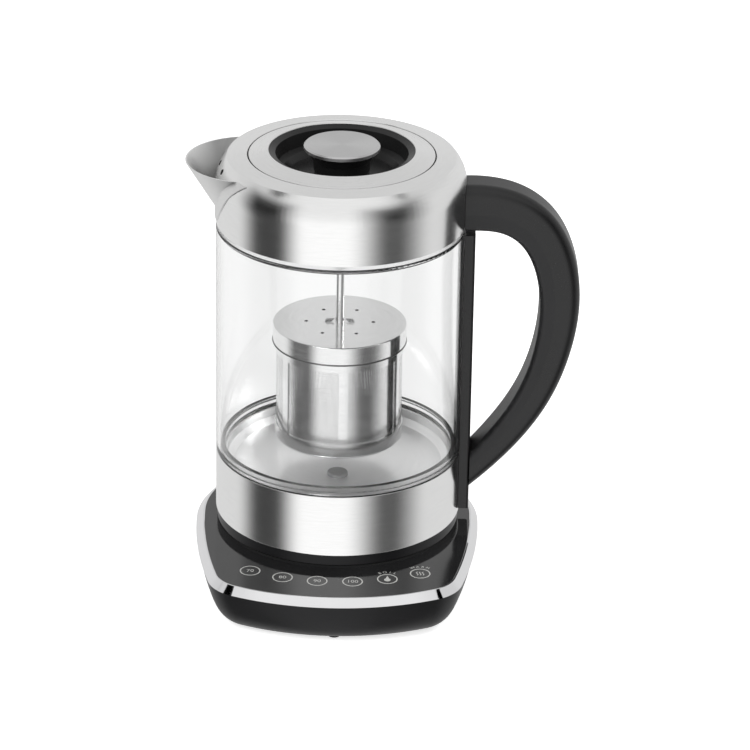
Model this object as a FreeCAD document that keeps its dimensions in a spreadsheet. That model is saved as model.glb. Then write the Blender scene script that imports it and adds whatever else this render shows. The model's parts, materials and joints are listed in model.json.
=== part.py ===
import FreeCAD, Part
import math
import os
import re
import Sketcher

# Glass tea maker with a lift-out infuser on a powered base.
# Origin: on the kettle's own axis, at the level of the surface that the feet stand on.
# +X points to the handle, -X to the spout, -Y to the touch panel, +Z up. Millimetres.

Vector = FreeCAD.Vector
AXIS_Z = Vector(0, 0, 1)
ORIGIN = Vector(0, 0, 0)

SIZES = {
    # Powered base
    "foot_height": 2.0,
    "foot_radius": 3.75,
    "foot_inset": 17.8,
    "shell_height": 24.7,
    "shell_wall": 2.4,
    "shell_taper": 12.0,
    "base_margin": 11.5,
    "base_side_radius": 350.0,
    "panel_reach": 42.8,
    "base_front_radius": 140.0,
    "base_corner_radius": 26.0,
    "trim_drop": 4.3,
    "trim_reach": 4.0,
    "trim_land": 0.8,
    "panel_thickness": 2.5,
    "deck_thickness": 4.0,
    "cover_thickness": 2.5,
    "cover_step": 1.5,
    "cover_inset": 18.0,
    "seat_inset": 1.6,
    "seat_ring_inset": 5.5,
    "seat_ring_width": 3.0,
    "fit_gap": 0.2,
    "running_gap": 0.3,
    "touch_radius": 6.25,
    "touch_share": 0.8318,
    "touch_arc_back": 17.3,
    "touch_pitch": 10.84,
    "spring_radius": 4.6,
    "board_thickness": 1.6,
    "board_width": 58.0,
    "board_depth": 40.0,
    "board_offset": 38.0,
    "board_margin": 4.0,
    "board_lift": 5.0,
    "standoff_radius": 3.0,
    "control_drop": 4.0,
    "control_post_spread": 40.0,
    "control_board_width": 108.0,
    "control_board_outer": 9.0,
    "control_board_inner": 11.0,
    "base_screw_radius": 1.5,
    "base_screw_head": 1.4,
    "base_screw_head_depth": 1.7,
    "base_screw_inset": 25.8,
    "screw_boss_radius": 4.2,
    "gland_radius": 5.0,
    "gland_flange": 2.0,
    "gland_height": 13.0,
    # Round power connector
    "post_radius": 16.5,
    "post_height": 13.0,
    "socket_wall": 4.7,
    "socket_roof": 4.7,
    "contact_inner_radius": 7.4,
    "contact_outer_radius": 12.0,
    "contact_wall": 0.5,
    "contact_depth": 6.0,
    # Kettle body
    "body_radius": 72.0,
    "sheet_steel": 0.8,
    "kettle_gap": 0.9,
    "skirt_height": 6.1,
    "skirt_wall": 5.2,
    "lower_collar_height": 37.5,
    "seal_height": 2.7,
    "glass_height": 138.0,
    "glass_wall": 2.4,
    "upper_seal_height": 3.0,
    "upper_wall_height": 22.8,
    "shoulder_round": 22.9,
    "shoulder_angle": 43.5,
    "ring_rise": 1.24,
    "mouth_radius": 53.8,
    "neck_depth": 9.0,
    "seat_drop": 4.4,
    "heater_inset": 11.0,
    "heater_drop": 8.0,
    "spreader_height": 3.0,
    "element_inset": 28.0,
    "element_radius": 3.4,
    "sensor_radius": 6.0,
    "sensor_offset": 21.7,
    "cutout_radius": 9.0,
    # Spout
    "spout_reach": 17.5,
    "spout_foot_inset": 0.6,
    "spout_rim_round": 36.5,
    "spout_foot_round": 15.0,
    "spout_rise": 29.9,
    "spout_foot_height": 5.5,
    "spout_sheet": 1.0,
    "spout_flange": 7.0,
    "spout_flange_height": 0.7,
    "strainer_hole_radius": 2.2,
    # Handle
    "strap_thickness": 5.4,
    "strap_width": 22.0,
    "strap_foot_height": 2.0,
    "strap_length": 174.0,
    "handle_width": 25.0,
    "handle_reach": 66.5,
    "handle_rise": 205.3,
    "handle_root": 27.0,
    "handle_grip": 23.5,
    "handle_toe": 16.0,
    "handle_outer_round": 6.0,
    "handle_inner_round": 3.5,
    # Lid
    "rim_width": 11.9,
    "rim_rise": 2.9,
    "cup_depth": 14.4,
    "cup_wall": 1.6,
    "knob_radius": 21.9,
    "knob_waist": 16.0,
    "knob_cap_height": 2.6,
    "knob_rise": 2.9,
    "lid_plug_inset": 1.3,
    "lid_floor": 2.4,
    "gasket_height": 3.0,
    "seat_lip": 3.3,
    # Infuser
    "rod_radius": 2.5,
    "cap_radius": 38.9,
    "cap_level": 116.7,
    "cap_band": 11.0,
    "basket_radius": 37.5,
    "basket_level": 45.7,
    "basket_wall": 0.6,
    "pan_height": 1.7,
    "pan_round": 1.6,
    "lug_reach": 0.45,
    "lug_width": 8.0,
    "lug_drop": 9.2,
    "lug_height": 1.5,
    "tab_reach": 0.55,
    "tab_height": 1.2,
    "window_count": 6,
    "window_width": 33.0,
    "window_foot": 9.0,
    "window_height": 45.8,
    "vent_ring": 19.5,
    "vent_radius": 0.9,
    "kidney_radius": 8.6,
    "kidney_width": 9.0,
}

# Radii and reaches that follow the kettle's own radius or its mouth
SEAT_RADIUS = "(body_radius - seat_inset)"
SEAT_RING = "(body_radius - seat_ring_inset)"
BASE_BACK = "(body_radius + base_margin)"
BASE_FRONT = "(body_radius + panel_reach)"
BASE_SCREW_RING = f"({BASE_BACK} - base_screw_inset)"
TOUCH_ARC = "(body_radius + panel_reach * touch_share)"
HEATER_RADIUS = "(body_radius - heater_inset)"
ELEMENT_RING = "(body_radius - element_inset)"
RIM_RADIUS = "(mouth_radius - rim_width)"
LID_PLUG_RADIUS = "(mouth_radius - lid_plug_inset)"
SOCKET_INNER = "(post_radius + running_gap)"
SOCKET_OUTER = f"({SOCKET_INNER} + socket_wall)"
FOOT_BORE = f"({SOCKET_OUTER} + running_gap)"

# Heights of the stack, from the feet up, as expressions of the sheet's names
SHELL_TOP = "(foot_height + shell_height)"
PANEL_TOP = f"({SHELL_TOP} + trim_drop)"
SKIRT_FOOT = f"({PANEL_TOP} + kettle_gap)"
COLLAR_FOOT = f"({SKIRT_FOOT} + skirt_height)"
COLLAR_TOP = f"({COLLAR_FOOT} + lower_collar_height)"
GLASS_FOOT = f"({COLLAR_TOP} + seal_height)"
GLASS_TOP = f"({GLASS_FOOT} + glass_height)"
UPPER_FOOT = f"({GLASS_TOP} + upper_seal_height)"
SHOULDER_FOOT = f"({UPPER_FOOT} + upper_wall_height)"
CREASE_RADIUS = "(body_radius - shoulder_round + shoulder_round * cos(shoulder_angle))"
CREASE_TOP = f"({SHOULDER_FOOT} + shoulder_round * sin(shoulder_angle))"
MOUTH_TOP = f"({CREASE_TOP} + ring_rise)"
NECK_FOOT = f"({MOUTH_TOP} - neck_depth)"
LID_REST = f"({NECK_FOOT} - seat_drop)"
RIM_TOP = f"({MOUTH_TOP} + rim_rise)"
CUP_FLOOR = f"({RIM_TOP} - cup_depth)"
KNOB_TOP = f"({RIM_TOP} + knob_rise)"
KNOB_SEAT = f"({KNOB_TOP} - knob_cap_height)"
HEATER_LEVEL = f"({COLLAR_TOP} - sheet_steel - heater_drop)"
CAP_TOP = f"({COLLAR_FOOT} + cap_level)"
CAP_FOOT = f"({CAP_TOP} - cap_band)"
BASKET_FOOT = f"({COLLAR_FOOT} + basket_level)"
BASKET_TOP = f"({CAP_TOP} - 2.6)"
LUG_LEVEL = f"({CAP_TOP} - lug_drop)"
DECK_TOP = f"({PANEL_TOP} - panel_thickness)"
COVER_TOP = "(foot_height + cover_thickness)"
COVER_DECK = f"({COVER_TOP} + cover_step)"
POST_TOP = f"({PANEL_TOP} + post_height)"
SOCKET_ROOF = f"({POST_TOP} + running_gap)"
STRAP_FACE = "(body_radius + strap_thickness)"
STRAP_TOP = f"({COLLAR_FOOT} + strap_foot_height + strap_length)"

DOC = FreeCAD.newDocument("TeaMaker")
SHEET = DOC.addObject("Spreadsheet::Sheet", "Dim")
PARTS = []


def fill_sheet(sizes):
    """Writes one row per driving dimension, its name beside its value."""
    for row, (name, number) in enumerate(sizes.items(), start=1):
        SHEET.set(f"A{row}", name)
        SHEET.set(f"B{row}", str(number))
        SHEET.setAlias(f"B{row}", name)
    DOC.recompute()


def val(text):
    """The number that an expression of sheet names works out to."""
    return float(SHEET.evalExpression(text))


def bound(text):
    """The same expression as another object of the document reads it."""
    return re.sub(r"[a-z_]+", lambda found: "Dim." + found.group() if found.group() in SIZES else found.group(), text)


def origin_item(body, role):
    """A plane or an axis of a body's own origin."""
    return [item for item in body.Origin.OriginFeatures if item.Role == role][0]


def arc_between(start, end, radius, turn):
    """Arc under half a circle from start to end, which bends left for turn 1 and right for turn -1."""
    chord = end - start
    across = Vector(-chord.y, chord.x, 0).normalize()
    reach = math.sqrt(max(radius ** 2 - (chord.Length / 2) ** 2, 0))
    centre = (start + end) / 2 + across * reach * turn
    middle = centre - across * radius * turn
    return Part.Arc(start, middle, end)


def bound_sketch(body, plane, name, outline):
    """Closed sketch whose corners, and radii where a corner gives one, are bound to the sheet.

    A corner is (across, up), or (across, up, radius, turn) where an arc leads to it.
    """
    sketch = body.newObject("Sketcher::SketchObject", name)
    sketch.AttachmentSupport = [(origin_item(body, plane), "")]
    sketch.MapMode = "FlatFace"
    corners = [Vector(val(corner[0]), val(corner[1]), 0) for corner in outline]
    ends = []
    for index, corner in enumerate(outline):
        start, end = corners[index - 1], corners[index]
        if len(corner) == 2:
            number = sketch.addGeometry(Part.LineSegment(start, end), False)
            ends.append((number, 1, 2))
            continue
        number = sketch.addGeometry(arc_between(start, end, val(corner[2]), corner[3]), False)
        swapped = (sketch.getPoint(number, 1) - start).Length > 1e-6
        ends.append((number, 2, 1) if swapped else (number, 1, 2))
        radius = sketch.addConstraint(Sketcher.Constraint("Radius", number, val(corner[2])))
        sketch.setExpression(f"Constraints[{radius}]", bound(corner[2]))
    for index, corner in enumerate(outline):
        number, _, last = ends[index]
        following, first, _ = ends[(index + 1) % len(ends)]
        sketch.addConstraint(Sketcher.Constraint("Coincident", number, last, following, first))
        for kind, text, place in (("DistanceX", corner[0], corners[index].x), ("DistanceY", corner[1], corners[index].y)):
            held = sketch.addConstraint(Sketcher.Constraint(kind, -1, 1, number, last, place))
            sketch.setExpression(f"Constraints[{held}]", bound(text))
    return sketch


def ring_edges(shape, rings):
    """Names of the circular edges about the axis at the given radius and height expressions."""
    names = []
    for across, up in rings:
        radius, height = val(across), val(up)
        for number, edge in enumerate(shape.Edges, start=1):
            curve = edge.Curve
            if not isinstance(curve, Part.Circle):
                continue
            if abs(curve.Radius - radius) < 0.01 and abs(curve.Center.z - height) < 0.01:
                names.append(f"Edge{number}")
    return names


def turned(label, outline, rounds=(), keep=True):
    """Body turned about the axis from a half section, with chosen rings rounded.

    Each item of rounds is (radius expression, [(ring radius, ring height), ...]).
    """
    body = DOC.addObject("PartDesign::Body", label.title().replace("_", ""))
    body.Label = label
    sketch = bound_sketch(body, "XZ_Plane", f"{label}_section", outline)
    turn = body.newObject("PartDesign::Revolution", f"{label}_turn")
    turn.Profile = sketch
    turn.ReferenceAxis = (sketch, ["V_Axis"])
    turn.Angle = 360.0
    sketch.Visibility = False
    DOC.recompute()
    for number, (radius, rings) in enumerate(rounds, start=1):
        tip = body.Tip
        fillet = body.newObject("PartDesign::Fillet", f"{label}_round_{number}")
        fillet.Base = (tip, ring_edges(tip.Shape, rings))
        fillet.Radius = val(radius)
        fillet.setExpression("Radius", bound(radius))
        DOC.recompute()
    if keep:
        PARTS.append(body)
    return body


def cylinder(label, radius, height, x, y, z):
    """Upright cylinder with every size and its place bound to the sheet."""
    rod = DOC.addObject("Part::Cylinder", label)
    rod.Label = label
    for path, text in (("Radius", radius), ("Height", height)):
        rod.setExpression(path, bound(text))
    for path, text in (("x", x), ("y", y), ("z", z)):
        rod.setExpression(f"Placement.Base.{path}", bound(text))
    DOC.recompute()
    return rod


def boolean(kind, label, base, tool, keep=True):
    """Part boolean of two objects of the document, kept as a sub-part when asked."""
    result = DOC.addObject(f"Part::{kind}", label.title().replace("_", ""))
    result.Label = label
    result.Base = base
    result.Tool = tool
    DOC.recompute()
    if keep:
        PARTS.append(result)
    return result


def feature(label, shape, keep=True):
    """Sub-part whose shape is made by functions, from sizes read out of the sheet."""
    item = DOC.addObject("Part::Feature", label.title().replace("_", ""))
    item.Label = label
    item.Shape = shape
    item.Placement = FreeCAD.Placement()
    if keep:
        PARTS.append(item)
    return item


def post(radius, low, high, x=0.0, y=0.0):
    """Plain upright cylinder shape between two levels."""
    return Part.makeCylinder(radius, high - low, Vector(x, y, low))


def tube(outer, inner, low, high, x=0.0, y=0.0):
    """Plain upright tube shape between two levels."""
    return post(outer, low, high, x, y).cut(post(inner, low - 1, high + 1, x, y))


def base_outline(inset, level):
    """Plan outline of the base, moved inwards by inset: half-round back, bowed sides, round front corners."""
    back = val(BASE_BACK)
    side = val("base_side_radius")
    front = val("base_front_radius")
    corner = val("base_corner_radius")
    side_centre = Vector(side - back, 0, 0)
    front_centre = Vector(0, front - val(BASE_FRONT), 0)
    # The corner's centre is where the side and front circles, both drawn in by its radius, cross
    apart = (front_centre - side_centre).Length
    along = ((side - corner) ** 2 - (front - corner) ** 2 + apart ** 2) / (2 * apart)
    across = math.sqrt((side - corner) ** 2 - along ** 2)
    ray = (front_centre - side_centre).normalize()
    sideways = Vector(-ray.y, ray.x, 0)
    options = [side_centre + ray * along + sideways * across * way for way in (1, -1)]
    corner_centre = min(options, key=lambda point: point.y)

    def on_circle(centre, radius, direction):
        return centre + Vector(direction).normalize() * (radius - inset)

    side_end = on_circle(side_centre, side, corner_centre - side_centre)
    front_start = on_circle(front_centre, front, corner_centre - front_centre)
    corner_ray = (side_end - corner_centre).normalize() + (front_start - corner_centre).normalize()
    corner_mid = on_circle(corner_centre, corner, corner_ray)
    side_ray = (side_end - side_centre).normalize() + Vector(-1, 0, 0)
    side_mid = on_circle(side_centre, side, side_ray)
    left = Vector(inset - back, 0, 0)
    nose = Vector(0, inset - val(BASE_FRONT), 0)

    def mirrored(point):
        return Vector(-point.x, point.y, 0)

    edges = [
        Part.Arc(mirrored(left), Vector(0, back - inset, 0), left),
        Part.Arc(left, side_mid, side_end),
        Part.Arc(side_end, corner_mid, front_start),
        Part.Arc(front_start, nose, mirrored(front_start)),
        Part.Arc(mirrored(front_start), mirrored(corner_mid), mirrored(side_end)),
        Part.Arc(mirrored(side_end), mirrored(side_mid), mirrored(left)),
    ]
    wire = Part.Wire([edge.toShape() for edge in edges])
    wire.translate(Vector(0, 0, level))
    return wire


def base_prism(inset, low, high):
    """Straight block of the base's plan between two levels."""
    return Part.Face(base_outline(inset, low)).extrude(Vector(0, 0, high - low))


def base_bowl(inset, low, high):
    """Bowl that draws in towards the bottom, with the plan outline at each level."""
    taper = val("shell_taper")
    stations = ((1.0, 0.0), (0.5, 0.24), (0.17, 0.6), (0.0, 1.0))
    wires = [base_outline(inset + taper * draw, low + (high - low) * share) for share, draw in stations]
    return Part.makeLoft(wires, True, False)


def touch_places():
    """Centres of the six touch fields, on an arc about a point behind the kettle's axis."""
    radius = val(TOUCH_ARC)
    back = val("touch_arc_back")
    pitch = math.radians(val("touch_pitch"))
    return [
        Vector(radius * math.sin(pitch * (step - 2.5)), back - radius * math.cos(pitch * (step - 2.5)), 0)
        for step in range(6)
    ]


def ring_places(radius, angles):
    """Points on a circle about the axis, at angles in degrees from +X."""
    return [
        Vector(radius * math.cos(math.radians(angle)), radius * math.sin(math.radians(angle)), 0)
        for angle in angles
    ]


SCREW_ANGLES = (38, 142, 222, 318)
FOOT_ANGLES = (90, 190, 350)
LUG_ANGLES = (90, 210, 330)
WINDOW_TURN = 34.5


def foot_places():
    """Front foot at the middle of the front edge, the others round the half-round back."""
    front = Vector(0, val(f"foot_inset - {BASE_FRONT}"), 0)
    return [front] + ring_places(val(f"{BASE_BACK} - foot_inset"), FOOT_ANGLES)


def make_base():
    """Powered base: shell, cover, deck, panel, trim, seat, feet, boards and connector post."""
    gap = val("fit_gap")
    foot = val("foot_height")
    shell_top = val(SHELL_TOP)
    panel_top = val(PANEL_TOP)
    deck_top = val(DECK_TOP)
    cover_top = val(COVER_TOP)
    wall = val("shell_wall")
    deck_foot = deck_top - val("deck_thickness")
    cover_inset = val("cover_inset")
    taper = val("shell_taper")
    screws = ring_places(val(BASE_SCREW_RING), SCREW_ANGLES)
    shank = val("base_screw_radius")
    touch = touch_places()

    gland_level = val("gland_height")
    gland_radius = val("gland_radius")
    back = val(BASE_BACK)
    gland_hole = Part.makeCylinder(gland_radius, 30, Vector(0, back - 24, gland_level), Vector(0, 1, 0))

    shell = base_bowl(0.5, foot, shell_top)
    hollow = base_bowl(0.5 + wall, foot, shell_top + 0.01)
    floor_cut = base_prism(taper, foot - 1, cover_top)
    shell = shell.cut(hollow.cut(floor_cut)).cut(base_prism(cover_inset, foot - 1, cover_top + 1))
    ledge = base_prism(taper + 1.5, foot, cover_top).cut(base_prism(cover_inset, foot - 1, cover_top + 1))
    shell = shell.fuse(ledge).cut(gland_hole).removeSplitter()
    feature("base_shell", shell)

    # The cover drops in from above, its lip on the shell's ledge
    cover = base_prism(cover_inset + gap, foot, cover_top)
    cover_deck = val(COVER_DECK)
    cover = cover.fuse(base_prism(taper + 2.5, cover_top, cover_deck))
    board_width, board_depth = val("board_width"), val("board_depth")
    board_offset, margin = val("board_offset"), val("board_margin")
    standoffs = [
        Vector(sx * (board_width / 2 - margin), board_offset + sy * (board_depth / 2 - margin), 0)
        for sx in (-1, 1) for sy in (-1, 1)
    ]
    standoff = val("standoff_radius")
    board_level = cover_deck + val("board_lift")
    control_level = deck_foot - val("control_drop")
    control_ring = val(f"{TOUCH_ARC} - control_board_inner + standoff_radius + 1.0")
    spread = val("control_post_spread")
    control_reach = math.sqrt(control_ring ** 2 - spread ** 2) - val("touch_arc_back")
    for place in standoffs:
        cover = cover.fuse(post(standoff, cover_deck, board_level, place.x, place.y))
    for side in (-1, 1):
        cover = cover.fuse(post(standoff, cover_deck, control_level, side * spread, -control_reach))
    head_radius = shank + val("base_screw_head")
    head_top = foot + gap + val("base_screw_head_depth")
    for place in screws:
        cover = cover.cut(post(shank + gap, foot - 1, cover_deck + 1, place.x, place.y))
        cover = cover.cut(post(head_radius + gap, foot - 1, head_top, place.x, place.y))
    feature("bottom_cover", cover.removeSplitter())

    screw_set = []
    for place in screws:
        head = post(head_radius, foot + gap, head_top, place.x, place.y)
        screw_set.append(head.fuse(post(shank, head_top, cover_deck + 7, place.x, place.y)))
    feature("base_screws", Part.makeCompound(screw_set))

    feet = [post(val("foot_radius"), 0, foot, place.x, place.y) for place in foot_places()]
    feet = [pad.makeFillet(0.5, [edge for edge in pad.Edges if edge.CenterOfMass.z < 0.01]) for pad in feet]
    feature("foot_pads", Part.makeCompound(feet))

    # Deck under the panel, with screw bosses that reach down to the cover
    deck = base_prism(0.5 + wall + gap + 0.6, deck_foot, shell_top)
    deck = deck.fuse(base_prism(val("trim_reach + trim_land") + gap, shell_top, deck_top))
    deck = deck.cut(post(val("post_radius") - 4, deck_foot - 1, deck_top + 1))
    for place in touch:
        deck = deck.cut(post(val("touch_radius") - 0.5, deck_foot - 1, deck_top + 1, place.x, place.y))
    for place in screws:
        deck = deck.fuse(post(val("screw_boss_radius"), cover_deck, deck_foot + 0.5, place.x, place.y))
        deck = deck.cut(post(shank + 0.05, cover_deck - 1, cover_deck + 8, place.x, place.y))
    feature("base_deck", deck.removeSplitter())

    reach = val("trim_reach")
    land = reach + val("trim_land")
    trim = Part.makeLoft([base_outline(0, shell_top), base_outline(reach, panel_top)], True, True)
    trim = trim.cut(base_prism(land, shell_top - 1, panel_top + 1))
    feature("chrome_trim", trim)

    seat_hole = post(val(SEAT_RADIUS) + gap, deck_top - 1, panel_top + 1)
    panel = base_prism(land + gap, deck_top, panel_top).cut(seat_hole)
    feature("control_panel", panel)

    turned("kettle_seat", [
        ("post_radius + 3.8", DECK_TOP),
        (SEAT_RADIUS, DECK_TOP),
        (SEAT_RADIUS, PANEL_TOP),
        (f"{SEAT_RING} + seat_ring_width", PANEL_TOP),
        (f"{SEAT_RING} + seat_ring_width", SKIRT_FOOT),
        (SEAT_RING, SKIRT_FOOT),
        (SEAT_RING, PANEL_TOP),
        ("post_radius + 3.8", PANEL_TOP),
    ])

    # Round connector post with two ring slots and a middle pin hole
    slot_floor = f"{POST_TOP} - contact_depth"
    turned("connector_post", [
        ("2.2", DECK_TOP),
        ("post_radius + 3.5", DECK_TOP),
        ("post_radius + 3.5", f"{PANEL_TOP} - 0.4"),
        ("post_radius", f"{PANEL_TOP} - 0.4"),
        ("post_radius", f"{POST_TOP} - 1.5"),
        ("post_radius - 1.5", POST_TOP),
        ("contact_outer_radius + contact_wall", POST_TOP),
        ("contact_outer_radius + contact_wall", slot_floor),
        ("contact_outer_radius - 1.5", slot_floor),
        ("contact_outer_radius - 1.5", POST_TOP),
        ("contact_inner_radius + contact_wall", POST_TOP),
        ("contact_inner_radius + contact_wall", slot_floor),
        ("contact_inner_radius - 1.5", slot_floor),
        ("contact_inner_radius - 1.5", POST_TOP),
        ("2.2", POST_TOP),
    ])
    thin = val("contact_wall")
    rings = []
    for radius in (val("contact_inner_radius"), val("contact_outer_radius")):
        low = val(slot_floor)
        rings.append(tube(radius + thin, radius, low, val(POST_TOP) - 1.0))
    rings.append(post(2.0, deck_top - 1.0, val(POST_TOP) - 1.0))
    feature("post_contacts", Part.makeCompound(rings))

    # Electronics
    thickness = val("board_thickness")
    board_foot = Vector(-board_width / 2, board_offset - board_depth / 2, board_level)
    feature("power_board", Part.makeBox(board_width, board_depth, thickness, board_foot))
    parts_level = board_level + thickness
    feature("relay", Part.makeBox(15, 12, 9, Vector(-24, board_offset + 6, parts_level)))
    feature("transformer", Part.makeBox(18, 16, 8, Vector(4, board_offset - 16, parts_level)))
    board_outer = val(f"{TOUCH_ARC} + control_board_outer")
    board_inner = val(f"{TOUCH_ARC} - control_board_inner")
    arc_back = val("touch_arc_back")
    sector = tube(board_outer, board_inner, control_level, control_level + thickness, 0, arc_back)
    span = val("control_board_width")
    corner = Vector(-span / 2, arc_back - board_outer, control_level - thickness)
    feature("control_board", sector.common(Part.makeBox(span, board_outer, 3 * thickness, corner)))
    pads = [post(val("spring_radius"), control_level + thickness, deck_top, place.x, place.y) for place in touch]
    feature("touch_springs", Part.makeCompound(pads))

    # Grommet in the back wall where the lead would enter; its bore is closed
    flange_radius = gland_radius + val("gland_flange")
    flange = Part.makeCylinder(flange_radius, 1.6, Vector(0, back - 2.4, gland_level), Vector(0, 1, 0))
    neck = Part.makeCylinder(gland_radius - 0.15, 7.0, Vector(0, back - 9.4, gland_level), Vector(0, 1, 0))
    collar = Part.makeCylinder(flange_radius, 1.6, Vector(0, back - 11.0, gland_level), Vector(0, 1, 0))
    bore = Part.makeCylinder(gland_radius - 1.8, 6.0, Vector(0, back - 6.0, gland_level), Vector(0, 1, 0))
    outside = base_bowl(0.5, foot, shell_top)
    inside = base_bowl(0.5 + wall, foot, shell_top)
    grommet = flange.cut(outside).fuse(neck).fuse(collar.common(inside)).cut(bore)
    feature("lead_grommet", grommet)


def make_coupler():
    """Female half of the round connector, which sits in the kettle's foot."""
    inner, outer = SOCKET_INNER, SOCKET_OUTER
    flange_low = f"{COLLAR_FOOT} + 4.4"
    roof = f"{SOCKET_ROOF} + socket_roof"
    slot_low = f"{POST_TOP} - 4.0"
    turned("connector_socket", [
        ("0", SOCKET_ROOF),
        (inner, SOCKET_ROOF),
        (inner, f"{SKIRT_FOOT} + 1.2"),
        (outer, f"{SKIRT_FOOT} + 1.2"),
        (outer, flange_low),
        (f"{outer} + 3.5", flange_low),
        (f"{outer} + 3.5", f"{flange_low} + 2.0"),
        (outer, f"{flange_low} + 2.0"),
        (outer, roof),
        ("0", roof),
    ])
    thin = val("contact_wall")
    rings = []
    for radius in (val("contact_inner_radius"), val("contact_outer_radius")):
        rings.append(tube(radius - 0.3, radius - 0.3 - thin, val(slot_low), val(SOCKET_ROOF)))
    feature("socket_contacts", Part.makeCompound(rings))


def collar_envelope(grow, low):
    """Solid of revolution that fills the upper collar's outer surface, grown outwards."""
    radius = val("body_radius") + grow
    round_radius = val("shoulder_round") + grow
    centre = val("body_radius - shoulder_round")
    foot = val(SHOULDER_FOOT)
    angle = math.radians(val("shoulder_angle"))
    crease = Vector(centre + round_radius * math.cos(angle), 0, foot + round_radius * math.sin(angle))
    middle = Vector(centre + round_radius * math.cos(angle / 2), 0, foot + round_radius * math.sin(angle / 2))
    mouth = Vector(val("mouth_radius"), 0, val(MOUTH_TOP) + grow)
    corners = [Vector(0, 0, low), Vector(radius, 0, low), Vector(radius, 0, foot)]
    edges = [Part.LineSegment(corners[0], corners[1]), Part.LineSegment(corners[1], corners[2])]
    edges.append(Part.Arc(corners[2], middle, crease))
    edges.append(Part.LineSegment(crease, mouth))
    edges.append(Part.LineSegment(mouth, Vector(0, 0, mouth.z)))
    edges.append(Part.LineSegment(Vector(0, 0, mouth.z), corners[0]))
    wire = Part.Wire([edge.toShape() for edge in edges])
    return Part.Face(wire).revolve(ORIGIN, AXIS_Z, 360)


def funnel(grow, low, high):
    """Slanted round cone that the spout's sheet follows, between two heights above the spout's foot."""
    rise = val("spout_rise")
    base = val(f"{UPPER_FOOT} + spout_foot_height")
    wires = []
    for height in (low, high):
        share = height / rise
        radius = val("spout_foot_round") * (1 - share) + val("spout_rim_round") * share
        reach = val("body_radius - spout_foot_inset") * (1 - share) + val("body_radius + spout_reach") * share
        circle = Part.Circle(Vector(radius - reach, 0, base + height), AXIS_Z, radius + grow)
        wires.append(Part.Wire([circle.toShape()]))
    return Part.makeLoft(wires, True, True)


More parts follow.
